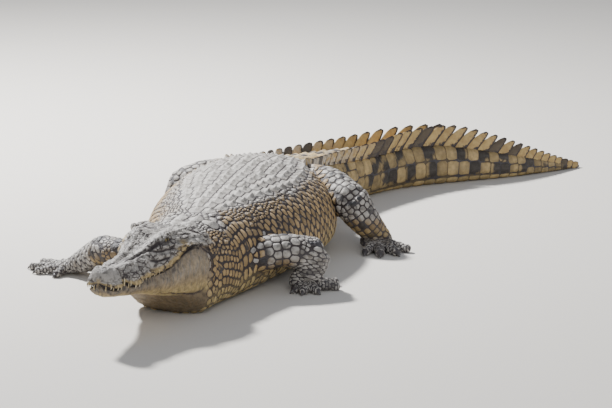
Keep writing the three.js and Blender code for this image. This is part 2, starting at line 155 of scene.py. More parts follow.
class Noise:
    """Seeded smooth noise in space, the same on every run."""

    def __init__(self, seed: int) -> None:
        """Makes the table of random gradients from a seed."""
        rng = np.random.default_rng(seed)
        self.order = rng.permutation(256)
        self.ways = unit(rng.normal(size=(256, 3)))

    def _ways_of(self, cells: Array) -> Array:
        """The random unit vectors of whole-numbered cells."""
        h = self.order[cells[..., 0] & 255]
        h = self.order[(h + cells[..., 1]) & 255]
        return self.ways[self.order[(h + cells[..., 2]) & 255]]

    def plain(self, points: Array, size: float) -> Array:
        """Noise between about -1 and 1 whose lumps are about a given size."""
        p = np.asarray(points, float) / size
        cell = np.floor(p).astype(np.int64)
        part = p - cell
        fade = part**3 * (part * (6 * part - 15) + 10)
        total = np.zeros(p.shape[:-1])
        for corner in np.ndindex(2, 2, 2):
            c = np.asarray(corner)
            weight = np.prod(np.where(c, fade, 1 - fade), axis=-1)
            total += weight * np.einsum("...i,...i->...", self._ways_of(cell + c), part - c)
        return 1.6 * total

    def edges(self, points: Array, size: float) -> Array:
        """How far points are inside uneven cells of about a size: 0 on an edge, up to about 1."""
        p = np.asarray(points, float) / size
        cell = np.floor(p).astype(np.int64)
        first, second = np.full(p.shape[:-1], 9.0), np.full(p.shape[:-1], 9.0)
        for shift in np.ndindex(3, 3, 3):
            key = cell + np.asarray(shift) - 1
            away = np.linalg.norm(key + 0.5 + 0.42 * self._ways_of(key) - p, axis=-1)
            second = np.minimum(second, np.maximum(first, away))
            first = np.minimum(first, away)
        return second - first

    def layered(self, points: Array, size: float, layers: int = 3) -> Array:
        """Noise summed over layers, each half as large and half as strong as the last."""
        return sum(self.plain(points + 7.3 * k, size / 2**k) / 2**k for k in range(layers))


# ---- The forms that the solids have too, in millimetres.


@dataclass(frozen=True)
class Spine:
    """The line on the floor that the body follows. Places count tailwards from the trunk's middle."""

    nape: float = -750.0
    shoulder: float = -480.0
    tail_tip: float = 2350.0
    bends: tuple = (
        (-750, 81), (-600, 84), (-300, 89), (-100, 90), (500, 89), (750, 82), (950, 70),
        (1200, 60), (1350, 56), (1550, 39), (1750, 33), (1950, 37), (2350, 50),
    )
    stride: float = 5.0

    def _walk(self) -> tuple[Array, Array]:
        """Places from well before the snout to past the tail's tip, and the spine's points there."""
        places = np.arange(-1400.0, self.tail_tip + 60.0, self.stride)
        middles = places[:-1] + self.stride / 2
        steps = heading(along(self.bends, middles)[:, 0]) * self.stride
        points = np.vstack([np.zeros(3), np.cumsum(steps, axis=0)])
        origin = points[np.argmin(np.abs(places))]
        return places, points - origin

    def at(self, places: Array) -> tuple[Array, Array, Array]:
        """The spine at places.

        Args:
            places: Where to read it.

        Returns:
            Points on the floor, in millimetres, and the ways tailwards and to the left there.
        """
        known, points = self._walk()
        there = np.stack([np.interp(places, known, points[:, k]) for k in range(3)], axis=-1)
        bend = along(self.bends, places)[..., 0]
        return there, heading(bend), heading(bend - 90)

    def locate(self, points: Array) -> tuple[Array, Array, Array]:
        """Finds points beside the spine.

        Args:
            points: Points in metres.

        Returns:
            Their places, their offsets to the left and their heights, in millimetres.
        """
        target = points / MM
        known, line = self._walk()
        place = np.interp(target[:, 1], line[:, 1], known)
        for _ in range(6):
            there, tailward, _ = self.at(place)
            place = place + np.einsum("ij,ij->i", target - there, tailward)
            place = np.clip(place, known[0], known[-1])
        there, _, left = self.at(place)
        return place, np.einsum("ij,ij->i", target - there, left), target[:, 2]


@dataclass(frozen=True)
class BodyForm:
    """Rounded sections of neck, trunk and tail, and of the slack skin under the jaw."""

    sections: tuple = (
        # place, half width, top, bottom, height of the widest point, squareness of the upper side
        (-694, 162, 280, -6, 112, 2.2), (-600, 182, 296, -12, 112, 2.2), (-540, 194, 300, -14, 110, 2.2),
        (-480, 212, 306, -14, 112, 2.2), (-300, 262, 324, -14, 112, 2.2), (-100, 308, 338, -14, 108, 2.2),
        (100, 328, 343, -14, 106, 2.2), (250, 316, 340, -14, 108, 2.2), (370, 276, 328, -14, 112, 2.3),
        (480, 230, 308, -14, 116, 2.5), (600, 190, 272, -12, 116, 2.8), (800, 154, 235, -10, 104, 3.2),
        (1000, 126, 214, -8, 96, 3.2), (1300, 94, 194, -7, 84, 3.0), (1600, 68, 174, -6, 72, 2.6),
        (1800, 50, 142, -5, 56, 2.3), (2000, 34, 96, -4, 40, 2.2), (2200, 18, 48, -3, 22, 2.2),
        (2350, 5, 14, -2, 7, 2.2),
    )
    throat: tuple = (
        (-965, 36, 172, 148, 158, 2.2), (-900, 84, 168, 112, 132, 2.2), (-830, 122, 150, 58, 92, 2.2),
        (-770, 142, 150, 10, 72, 2.2), (-725, 152, 160, -8, 72, 2.2), (-694, 156, 180, -10, 80, 2.2),
    )
    belly_squareness: float = 2.6

    def half_outlines(self, table: tuple, places: Array, count: int = 181) -> Array:
        """Left halves of the sections at places, from the top of the back round to the belly.

        Args:
            table: The sections or the throat.
            places: Where along the spine.
            count: Points in each half.

        Returns:
            Offsets to the left and heights, in millimetres, shaped (places, count, 2).
        """
        half, top, bottom, widest, squareness = along(table, places).T[..., None]
        angle = np.linspace(np.pi / 2, -np.pi / 2, count)[None]
        across, up = np.cos(angle), np.sin(angle)
        power = 2 / np.where(up > 0, squareness, self.belly_squareness)
        reach = np.where(up > 0, top - widest, widest - bottom)
        z = widest + reach * np.sign(up) * np.abs(up) ** power
        offset = half * np.abs(across) ** power
        return np.stack([offset, np.maximum(0.0, z)], axis=-1)

    def back_height(self, places: Array, offsets: Array) -> Array:
        """Height of the upper surface at places, some way to the side of its mid-line."""
        half, top, _, widest, squareness = along(self.sections, places).T
        share = np.minimum(1.0, np.abs(offsets) / half)
        return widest + (top - widest) * (1 - share**squareness) ** (1 / squareness)


@dataclass(frozen=True)
class HeadForm:
    """The head in a frame of its own, which runs forward, left and up from the nape."""

    spine: Spine
    turn: float = 79.0
    pitch: float = 3.4
    mouth_level: float = 176.0
    snout: float = 500.0
    skull: tuple = (
        # forward, half width and height of lip, cheek and ridge, and the mid-line's height
        (-78, 132, -4, 130, 52, 76, 100, 106), (-55, 140, 20, 136, 76, 80, 112, 114),
        (-25, 142, 42, 136, 92, 80, 118, 119), (10, 142, 58, 134, 96, 76, 123, 119),
        (50, 138, 69, 131, 92, 70, 124, 116), (95, 126, 69, 116, 89, 56, 124, 112),
        (140, 117, 52, 99, 80, 48, 127, 106), (175, 106, 27, 90, 67, 45, 115, 98),
        (215, 95, 12, 86, 43, 40, 94, 86), (260, 84, 5, 80, 29, 38, 76, 72),
        (320, 76, -2, 72, 24, 34, 64, 64), (365, 77, -12, 71, 20, 32, 58, 58),
        (400, 66, -6, 60, 22, 30, 54, 52), (424, 51, 4, 48, 24, 28, 52, 50),
        (450, 60, -8, 54, 20, 30, 56, 55), (475, 55, -8, 50, 18, 26, 54, 54),
        (492, 34, -3, 31, 16, 17, 42, 43), (500, 14, 4, 13, 14, 8, 28, 29),
    )
    jaw: tuple = (
        # forward, half width of the lip, half width and height of cheek and chin
        (-78, 126, 130, -24, 96, -80), (-45, 138, 146, -8, 110, -94), (0, 140, 150, 0, 116, -102),
        (60, 134, 146, -8, 112, -102), (120, 122, 134, -18, 100, -96), (180, 102, 112, -26, 82, -86),
        (240, 80, 90, -28, 66, -74), (300, 66, 75, -28, 55, -64), (370, 64, 68, -26, 46, -58),
        (425, 54, 58, -22, 40, -52), (460, 46, 54, -22, 35, -48), (482, 30, 40, -18, 26, -40),
        (492, 8, 16, -14, 10, -26), (500, 5, 7, -2, 4, -10),
    )
    eye_forward: float = 158.0
    eye_side: float = 57.0
    eye_up: float = 98.0
    eye_way: tuple = (0.34, 0.84, 0.30)

    def frame(self) -> tuple[Array, Array, Array, Array]:
        """The head's origin and its ways forward, left and up."""
        nape = self.spine.at(np.array([self.spine.nape]))[0][0]
        base = nape + np.array([0, 0, self.mouth_level])
        tilt = math.radians(self.pitch)
        forward = heading(self.turn + 180) * math.cos(tilt) + np.array([0, 0, math.sin(tilt)])
        left = heading(self.turn - 90)
        return base, forward, left, np.cross(forward, left)

    def eye(self, side: int) -> tuple[Array, Array]:
        """The middle of the left (1) or right (-1) eyeball in the head's frame, and the way it looks."""
        mirror = np.array([1.0, side, 1.0])
        middle = mirror * [self.eye_forward, self.eye_side, self.eye_up]
        return middle, unit(mirror * self.eye_way)

    def place(self, local: Array) -> Array:
        """Points in the body's frame, in millimetres, of points of the head's frame."""
        base, forward, left, up = self.frame()
        return base + local[..., :1] * forward + local[..., 1:2] * left + local[..., 2:] * up

    def locate(self, points: Array) -> Array:
        """Points of the head's frame, in millimetres, of points in metres."""
        base, forward, left, up = self.frame()
        return (points / MM - base) @ np.stack([forward, left, up]).T

    def lip(self, forward: Array) -> Array:
        """The lip's height at distances forward."""
        return along(self.skull, forward)[..., 1]

    def upper_outlines(self, forward: Array) -> Array:
        """Left halves of the skull's sections, from the mid-line down to the lip."""
        lip_half, lip, cheek_half, cheek, ridge_half, ridge, middle = along(self.skull, forward).T
        return centripetal((0 * middle, middle), (ridge_half, ridge), (cheek_half, cheek), (lip_half, lip))

    def lower_outlines(self, forward: Array) -> Array:
        """Left halves of the jaw's sections, from the lip down to the mid-line."""
        lip_half, cheek_half, cheek, chin_half, chin = along(self.jaw, forward).T
        lip = self.lip(forward)
        return centripetal((lip_half, lip), (cheek_half, cheek), (chin_half, chin + 8), (0 * chin, chin))


def centripetal(*knots: tuple[Array, Array], count: int = 24) -> Array:
    """Centripetal Catmull-Rom curves through corners.

    Args:
        knots: The corners, each as its half width and height on every curve.
        count: Points on each stretch between corners.

    Returns:
        Points of the curves, shaped (curves, stretches * count + 1, 2).
    """
    corners = np.stack([np.stack(knot, axis=-1) for knot in knots], axis=1)
    first = 2 * corners[:, :1] - corners[:, 1:2]
    final = 2 * corners[:, -1:] - corners[:, -2:-1]
    p = np.concatenate([first, corners, final], axis=1)
    gaps = np.maximum(np.linalg.norm(np.diff(p, axis=1), axis=-1, keepdims=True) ** 0.5, 1e-3)
    t = np.linspace(0, 1, count, endpoint=False)[None, :, None]
    pieces = []
    for k in range(corners.shape[1] - 1):
        x0, x1, x2, x3 = (p[:, None, k + m] for m in range(4))
        d0, d1, d2 = (gaps[:, None, k + m] for m in range(3))
        t1 = d1 * ((x1 - x0) / d0 - (x2 - x0) / (d0 + d1) + (x2 - x1) / d1)
        t2 = d1 * ((x2 - x1) / d1 - (x3 - x1) / (d1 + d2) + (x3 - x2) / d2)
        pieces.append(x1 + t * (t1 + t * (3 * (x2 - x1) - 2 * t1 - t2 + t * (2 * (x1 - x2) + t1 + t2))))
    return np.concatenate([*pieces, corners[:, None, -1]], axis=1)


def resampled(outlines: Array, shares: Array) -> Array:
    """Points at shares of the length of polylines.

    Args:
        outlines: Polylines, shaped (lines, points, dimensions).
        shares: Shares from 0 to 1, shaped (lines, wanted).

    Returns:
        Points, shaped (lines, wanted, dimensions).
    """
    lengths = np.linalg.norm(np.diff(outlines, axis=1), axis=-1)
    total = np.concatenate([np.zeros((len(outlines), 1)), np.cumsum(lengths, axis=1)], axis=1)
    result = np.empty((*shares.shape, outlines.shape[-1]))
    for i, (line, known, wanted) in enumerate(zip(outlines, total, shares)):
        for k in range(outlines.shape[-1]):
            result[i, :, k] = np.interp(wanted * known[-1], known, line[:, k])
    return result


# ---- The skin's surfaces.


def ring_quads(rings: int, sides: int) -> Array:
    """Quads between neighbouring closed rings of points, numbered ring by ring."""
    index = np.arange(rings * sides).reshape(rings, sides)
    turned = np.roll(index, -1, axis=1)
    return np.stack([index[:-1], turned[:-1], turned[1:], index[1:]], axis=-1).reshape(-1, 4)


def signed_volume(corners: Array) -> float:
    """Six times the volume inside triangles, below zero where they face inwards."""
    return float(np.einsum("ij,ij->i", corners[:, 0], np.cross(corners[:, 1], corners[:, 2])).sum())


@dataclass
class Tube:
    """A surface of closed rings, in millimetres."""

    points: Array

    def normals(self) -> Array:
        """Outward unit normals at the rings' points."""
        lengthways = np.gradient(self.points, axis=0)
        across = (np.roll(self.points, -1, axis=1) - np.roll(self.points, 1, axis=1)) / 2
        normal = unit(np.cross(lengthways, across))
        middle = self.points.mean(axis=1, keepdims=True)
        outward = np.sign(np.mean(np.einsum("ijk,ijk->ij", normal, self.points - middle)))
        return normal * outward

    def at(self, u: Array, v: Array) -> Array:
        """Points at ring numbers u and shares v of the way round."""
        rings, sides = self.points.shape[:2]
        u = np.clip(u, 0, rings - 1.001)
        w = np.mod(v, 1.0) * sides
        i, j = u.astype(int), w.astype(int) % sides
        a, b = (u - i)[:, None], (w - np.floor(w))[:, None]
        k = (j + 1) % sides
        p = self.points
        return (p[i, j] * (1 - a) + p[i + 1, j] * a) * (1 - b) + (p[i, k] * (1 - a) + p[i + 1, k] * a) * b

    def mesh_data(self, pole_out: float = 0.0) -> tuple[Array, list]:
        """Points and faces of the closed tube, each end drawn to one point.

        Args:
            pole_out: How far the end points stand out beyond the end rings.

        Returns:
            The points in millimetres, and the faces.
        """
        rings, sides = self.points.shape[:2]
        ends = []
        for ring, inner in ((self.points[0], self.points[1]), (self.points[-1], self.points[-2])):
            middle = ring.mean(axis=0)
            ends.append(middle + pole_out * unit(middle - inner.mean(axis=0)))
        first, last = rings * sides, rings * sides + 1
        pairs = [(k, (k + 1) % sides) for k in range(sides)]
        fans = [(first, b, a) for a, b in pairs]
        fans += [(last, first - sides + a, first - sides + b) for a, b in pairs]
        points = np.vstack([self.points.reshape(-1, 3), ends])
        return points, [tuple(q) for q in ring_quads(rings, sides).tolist()] + fans


@dataclass
class BodySurface:
    """The tube from the snout's tip to the tail's tip, as far out as the coat's tips."""

    spine: Spine
    body: BodyForm
    head: HeadForm
    half_sides: int = 160
    lip_index: int = 80
    lip_rows: int = 2
    lip_depth: float = 13.0
    mouth_gap: float = 6.5
    head_stride: float = 2.0
    body_stride: float = 8.0
    blend_from: float = -735.0
    blend_to: float = -655.0
    throat_middle: float = -15.0
    throat_room: float = 10.0

    def places(self) -> Array:
        """Places of the rings, closest together at the snout's tip."""
        tip = self.spine.nape - self.head.snout
        nose = tip + 24 * (np.linspace(0, 1, 24, endpoint=False) ** 1.6)
        face = np.arange(tip + 24, -700.0, self.head_stride)
        rest = np.arange(-700.0, self.spine.tail_tip + 1, self.body_stride)
        return np.concatenate([nose, face, rest])

    def _head_halves(self, forward: Array) -> tuple[Array, Array]:
        """Left half rings of the head in its own frame.

        Args:
            forward: The rings' distances forward of the nape.

        Returns:
            The half rings, and the share of each one's length that lies above the lip.
        """
        upper = self.head.upper_outlines(forward)
        lower = self._with_throat(forward, self.head.lower_outlines(forward))
        gape = self.mouth_gap * step(40.0, 110.0, forward) * step(505.0, 470.0, forward)
        lower[..., 1] -= gape[:, None] * (1 - np.linspace(0, 1, lower.shape[1])) ** 8
        above = np.linspace(0, 1, self.lip_index - self.lip_rows + 1)
        below = np.linspace(0, 1, self.half_sides - self.lip_index - self.lip_rows + 1)
        top = resampled(upper, np.broadcast_to(above, (len(forward), len(above))))
        bottom = resampled(lower, np.broadcast_to(below, (len(forward), len(below))))
        share = np.linspace(0, 1, 2 * self.lip_rows + 1)[1:-1][None, :, None]
        depth = self.lip_depth * step(45.0, 75.0, forward)[:, None] * np.sin(np.pi * share[..., 0])
        groove = top[:, -1:] * (1 - share) + bottom[:, :1] * share
        groove[..., 0] -= np.minimum(depth, 0.5 * groove[..., 0])
        half = np.concatenate([top, groove, bottom], axis=1)
        lengths = [np.linalg.norm(np.diff(x, axis=1), axis=-1).sum(axis=1) for x in (upper, lower)]
        return half, lengths[0] / (lengths[0] + lengths[1])

    def _with_throat(self, forward: Array, lower: Array) -> Array:
        """The jaw's lower outlines, let out to the slack skin of the throat where that hangs further.

        Args:
            forward: Distances forward of the nape.
            lower: The jaw's outlines there.

        Returns:
            The fuller outlines.
        """
        tables = self.body.throat
        back = self.spine.nape - forward
        halves = self.body.half_outlines(tables, np.clip(back, tables[0][0], tables[-1][0]))
        reach = step(228.0, 190.0, forward)
        middle, room = self.throat_middle, self.throat_room
        rise = forward * math.sin(math.radians(self.head.pitch))
        result = lower.copy()
        for i in np.flatnonzero(reach > 0):
            side, up = halves[i, :, 0], halves[i, :, 1] - self.head.mouth_level - rise[i] - middle
            hanging = np.arange(len(side)) >= np.argmax(side)
            side, up = side[hanging][::-1], up[hanging][::-1]
            x, y = lower[i, :, 0], lower[i, :, 1] - middle
            angle = np.arctan2(y, x)
            radius = np.hypot(x, y)
            around = np.arctan2(up, side)
            hang = np.interp(angle, around, np.hypot(side, up))
            beside = angle > around[-1]
            hang[beside] = side[-1] / np.maximum(np.cos(angle[beside]), 0.2)
            mixed = np.maximum(radius, hang) + np.maximum(room - np.abs(radius - hang), 0) ** 2 / (4 * room)
            new = radius + reach[i] * (mixed - radius) * step(0, 0.25, np.linspace(0, 1, len(radius)))
            result[i] = np.stack([new * np.cos(angle), new * np.sin(angle) + middle], axis=-1)
        return result

    def build(self) -> Tube:
        """The whole tube."""
        places = self.places()
        forward = self.spine.nape - places
        in_head = places < self.blend_to
        in_body = places > self.blend_from
        half, lip_share = self._head_halves(forward[in_head])
        head_left, head_right = self._mirrored_head(forward[in_head], half)
        free = self.lip_index / self.half_sides
        start_share = lip_share[-1]
        ease = step(self.blend_to, self.blend_to + 260.0, places[in_body])
        share = start_share + (free - start_share) * ease
        q = np.linspace(0, 1, self.half_sides + 1)[None]
        below = share[:, None] + (1 - share[:, None]) * (q - free) / (1 - free)
        shares = np.where(q < free, share[:, None] * q / free, below)
        outline = resampled(self.body.half_outlines(self.body.sections, places[in_body]), shares)
        point, _, left = self.spine.at(places[in_body])
        up = np.array([0.0, 0.0, 1.0])
        sides = [
            point[:, None] + sign * outline[..., :1] * left[:, None] + outline[..., 1:] * up
            for sign in (1, -1)
        ]
        rings = np.zeros((len(places), 2 * self.half_sides, 3))
        weight = step(self.blend_from, self.blend_to, places)[:, None, None]
        head_ring = np.concatenate([head_left, head_right[:, -2:0:-1]], axis=1)
        body_ring = np.concatenate([sides[0], sides[1][:, -2:0:-1]], axis=1)
        rings[in_head] += head_ring * (1 - weight[in_head])
        rings[in_body] += body_ring * weight[in_body]
        rings[..., 2] = np.maximum(rings[..., 2], 0.0)
        return Tube(rings)

    def _mirrored_head(self, forward: Array, half: Array) -> tuple[Array, Array]:
        """Both halves of the head's rings in the body's frame."""
        deep = np.broadcast_to(forward[:, None], half.shape[:2])
        both = [np.stack([deep, sign * half[..., 0], half[..., 1]], axis=-1) for sign in (1, -1)]
        return self.head.place(both[0]), self.head.place(both[1])


def limb_frames(centres: Array) -> tuple[Array, Array, Array]:
    """Ways along, across and through a limb at points of its middle line."""
    ways = unit(np.gradient(centres, axis=0))
    depth = np.array([0.0, 0.0, 1.0]) - ways[0, 2] * ways[0]
    depth /= np.linalg.norm(depth)
    through = []
    for way in ways:
        depth = depth - (depth @ way) * way
        depth /= np.linalg.norm(depth)
        through.append(depth)
    through = np.asarray(through)
    return ways, np.cross(through, ways), through


def limb_tube(stations: tuple, sides: int = 72, stride: float = 4.0, ends: tuple = (0.6, 0.6)) -> Tube:
    """A tube with rounded ends about stations of (x, y, z, half breadth, half depth).

    Args:
        stations: The stations, in millimetres.
        sides: Points in each ring.
        stride: Distance between rings.
        ends: How far each end bulges out, as shares of its half depth.

    Returns:
        The tube.
    """
    rows = np.asarray(stations, float)
    lengths = run_of(rows[:, :3])
    table = tuple(tuple(r) for r in np.column_stack([lengths, rows]))
    count = max(6, int(lengths[-1] / stride))
    smooth = along(table, np.linspace(0, lengths[-1], count))
    centres, sizes = smooth[:, :3], smooth[:, 3:]
    ways, across, through = limb_frames(centres)
    caps = [[], []]
    for k, (index, sign) in enumerate(((0, -1), (-1, 1))):
        for turn in np.linspace(12, 84, 9)[:: -1 if sign < 0 else 1]:
            angle = math.radians(turn)
            centre = centres[index] + sign * ways[index] * ends[k] * sizes[index][1] * math.sin(angle)
            caps[k].append((centre, across[index], through[index], sizes[index] * math.cos(angle)))
    middle = list(zip(centres, across, through, sizes))
    angles = np.linspace(0, 2 * np.pi, sides, endpoint=False)[:, None]
    rings = [
        c + a * s[0] * np.cos(angles) + t * s[1] * np.sin(angles)
        for c, a, t, s in [*caps[0], *middle, *caps[1]]
    ]
    return Tube(np.asarray(rings))


class Limb(Enum):
    """The four limbs, by the words in their nodes' names."""

    ARM_LEFT = ("upper_arm_left", "forearm_left", "hand_left")
    ARM_RIGHT = ("upper_arm_right", "forearm_right", "hand_right")
    LEG_LEFT = ("thigh_left", "shank_left", "foot_left")
    LEG_RIGHT = ("thigh_right", "shank_right", "foot_right")


@dataclass(frozen=True)
class LimbForm:
    """One limb: stations of its upper and lower part and its palm, then its toes' tips and claws."""

    upper: tuple
    lower: tuple
    foot: tuple
    toes: tuple
    thick: float
    claws: tuple

    def knuckles(self) -> Array:
        """The point that the toes spread from."""
        x, y = self.foot[-2][:2]
        return np.array([x, y, self.thick], float)

    def toe_lines(self) -> list[tuple[Array, Array]]:
        """Each toe's root and tip."""
        lines = []
        for x, y in self.toes:
            root = self.knuckles() + 0.25 * (np.array([x, y, self.thick]) - self.knuckles())
            lines.append((root, np.array([x, y, 0.62 * self.thick])))
        return lines

    def tubes(self) -> list[Tube]:
        """The upper and the lower part and the palm, then the toes."""
        upper = limb_tube(self.upper, ends=(0.3, 0.62))
        lower = limb_tube((self.upper[-1], *self.lower), ends=(0.5, 0.5))
        palm = limb_tube((self.lower[-1], *self.foot), ends=(0.5, 0.6))
        toes = []
        for root, tip in self.toe_lines():
            length = np.linalg.norm(tip - root)
            rows = []
            for share in np.linspace(0, 1, 9):
                x, y, z = root + share * (tip - root)
                arch = 0.42 * math.sin(math.pi * share) ** 0.8
                knuckle = 0.07 * math.cos(2 * math.pi * share * max(2, round(length / 38)))
                fat = self.thick * (1.22 - 0.36 * share + knuckle)
                rows.append((x, y, max(z + arch * self.thick * 0.7, fat * 0.9), fat, fat * 0.92))
            toes.append(limb_tube(tuple(rows), sides=28, stride=2.5, ends=(0.4, 0.7)))
        return [upper, lower, palm, *toes]


LIMBS = {
    Limb.ARM_LEFT: LimbForm(
        upper=((150, -452, 130, 74, 70), (270, -402, 146, 62, 58), (358, -354, 124, 70, 64)),
        lower=((348, -360, 84, 64, 62), (342, -370, 54, 56, 46)),
        foot=((344, -382, 28, 62, 28), (346, -388, 22, 44, 18)),
        toes=((310, -424), (344, -438), (390, -420), (446, -346), (424, -280)),
        thick=17, claws=(26, 26, 26, 0, 0),
    ),
    Limb.ARM_RIGHT: LimbForm(
        upper=((-160, -470, 112, 70, 66), (-280, -424, 112, 54, 50), (-390, -372, 104, 62, 54)),
        lower=((-440, -352, 72, 54, 50), (-500, -328, 42, 46, 36)),
        foot=((-530, -318, 26, 52, 24), (-540, -314, 20, 38, 15)),
        toes=((-560, -396), (-640, -362), (-680, -304), (-664, -230), (-590, -220)),
        thick=16, claws=(26, 26, 26, 0, 0),
    ),
    Limb.LEG_LEFT: LimbForm(
        upper=((110, 500, 170, 100, 92), (250, 380, 196, 78, 84), (362, 268, 176, 70, 72)),
        lower=((410, 280, 110, 60, 60), (452, 316, 52, 50, 44)),
        foot=((454, 290, 30, 62, 28), (458, 268, 22, 54, 18)),
        toes=((438, 172), (494, 160), (550, 190), (578, 252)),
        thick=19, claws=(30, 30, 30, 0),
    ),
    Limb.LEG_RIGHT: LimbForm(
        upper=((-110, 500, 170, 100, 92), (-210, 410, 200, 78, 84), (-286, 340, 192, 72, 74)),
        lower=((-340, 400, 112, 58, 58), (-366, 440, 52, 50, 44)),
        foot=((-382, 412, 30, 58, 28), (-392, 392, 22, 52, 18)),
        toes=((-372, 296), (-424, 284), (-476, 306), (-506, 362)),
        thick=19, claws=(30, 30, 30, 0),
    ),
}


# ---- Meshes.


def numbers_of(items: bpy.types.bpy_prop_collection, word: str, width: int = 1, kind: type = float) -> Array:
    """A property of each point, edge, face or corner of a mesh.

    Args:
        items: The mesh's points, edges, faces or corners.
        word: The property's name.
        width: How many numbers it has.
        kind: The numbers' type.

    Returns:
        The numbers, in rows where there are several for each.
    """
    flat = np.empty(width * len(items), kind)
    items.foreach_get(word, flat)
    return flat.reshape(-1, width) if width > 1 else flat


def edges_of(mesh: bpy.types.Mesh) -> Array:
    """The mesh's edges as pairs of point numbers."""
    return numbers_of(mesh.edges, "vertices", 2, np.int32)


def points_of(mesh: bpy.types.Mesh) -> Array:
    """The mesh's points, in metres."""
    return numbers_of(mesh.vertices, "co", 3)


def normals_of(mesh: bpy.types.Mesh) -> Array:
    """The unit normals at the mesh's points."""
    return numbers_of(mesh.vertices, "normal", 3)


def write_values(mesh: bpy.types.Mesh, values: dict[str, Array]) -> None:
    """Writes numbers to the mesh's points, by name, for its finish to read."""
    for word, rows in values.items():
        layer = mesh.attributes.new(word, "FLOAT", "POINT")
        layer.data.foreach_set("value", np.ascontiguousarray(rows, np.float32).ravel())


def write_unwrap(mesh: bpy.types.Mesh, spots: Array) -> None:
    """Writes the unwrap for baking, from the place of each of the mesh's points on it."""
    corners = numbers_of(mesh.loops, "vertex_index", kind=np.int32)
    unwrap = mesh.uv_layers.new(name="OFBake")
    unwrap.data.foreach_set("uv", spots.astype(np.float32)[corners].ravel())


def tree_of(points: Array) -> KDTree:
    """A search tree of points, by their numbers."""
    tree = KDTree(len(points))
    for number, point in enumerate(points):
        tree.insert(point, number)
    tree.balance()
    return tree


def set_points(mesh: bpy.types.Mesh, points: Array) -> None:
    """Moves the mesh's points."""
    mesh.vertices.foreach_set("co", np.ascontiguousarray(points, float).ravel())
    mesh.update()


def linked(name: str, data: bpy.types.ID) -> bpy.types.Object:
    """A new object of some data, in the scene."""
    made = bpy.data.objects.new(name, data)
    bpy.context.scene.collection.objects.link(made)
    return made


def object_of(name: str, points: Array, faces: list | Array, outward: bool = True) -> bpy.types.Object:
    """A new smooth-shaded object.

    Args:
        name: The object's name.
        points: Its points, in metres.
        faces: Its faces, as rows of point numbers.
        outward: Whether to turn the faces outwards, for one closed form.

    Returns:
        The object, linked to the scene.
    """
    rows = faces.tolist() if isinstance(faces, np.ndarray) else faces
    if outward:
        tri = np.array([f[:3] for f in rows])
        rest = np.array([(f[0], f[2], f[3]) for f in rows if len(f) == 4], int).reshape(-1, 3)
        if signed_volume(points[np.vstack([tri, rest])]) < 0:
            rows = [tuple(reversed(f)) for f in rows]
    mesh = bpy.data.meshes.new(name)
    mesh.from_pydata(points.tolist(), [], rows)
    mesh.polygons.foreach_set("use_smooth", np.ones(len(mesh.polygons), bool))
    mesh.update()
    return linked(name, mesh)


def applied(piece: bpy.types.Object) -> None:
    """Replaces the piece's mesh with what its modifiers make of it."""
    graph = bpy.context.evaluated_depsgraph_get()
    made = bpy.data.meshes.new_from_object(piece.evaluated_get(graph), depsgraph=graph)
    piece.modifiers.clear()
    piece.data = made


def diffused(values: Array, edges: Array, weight: Array, rounds: int) -> Array:
    """Values evened out with their neighbours' along edges.

    Args:
        values: One row for each point.
        edges: Pairs of point numbers.
        weight: How far each point moves towards its neighbours' mean in a round.
        rounds: How many rounds.

    Returns:
        The evened values.
    """
    count = len(values)
    a, b = edges.T
    degree = np.maximum(np.bincount(a, minlength=count) + np.bincount(b, minlength=count), 1)
    result = values.copy()
    for _ in range(rounds):
        for k in range(values.shape[1]):
            column = result[:, k]
            total = np.bincount(a, column[b], count) + np.bincount(b, column[a], count)
            result[:, k] = column + weight * (total / degree - column)
    return result


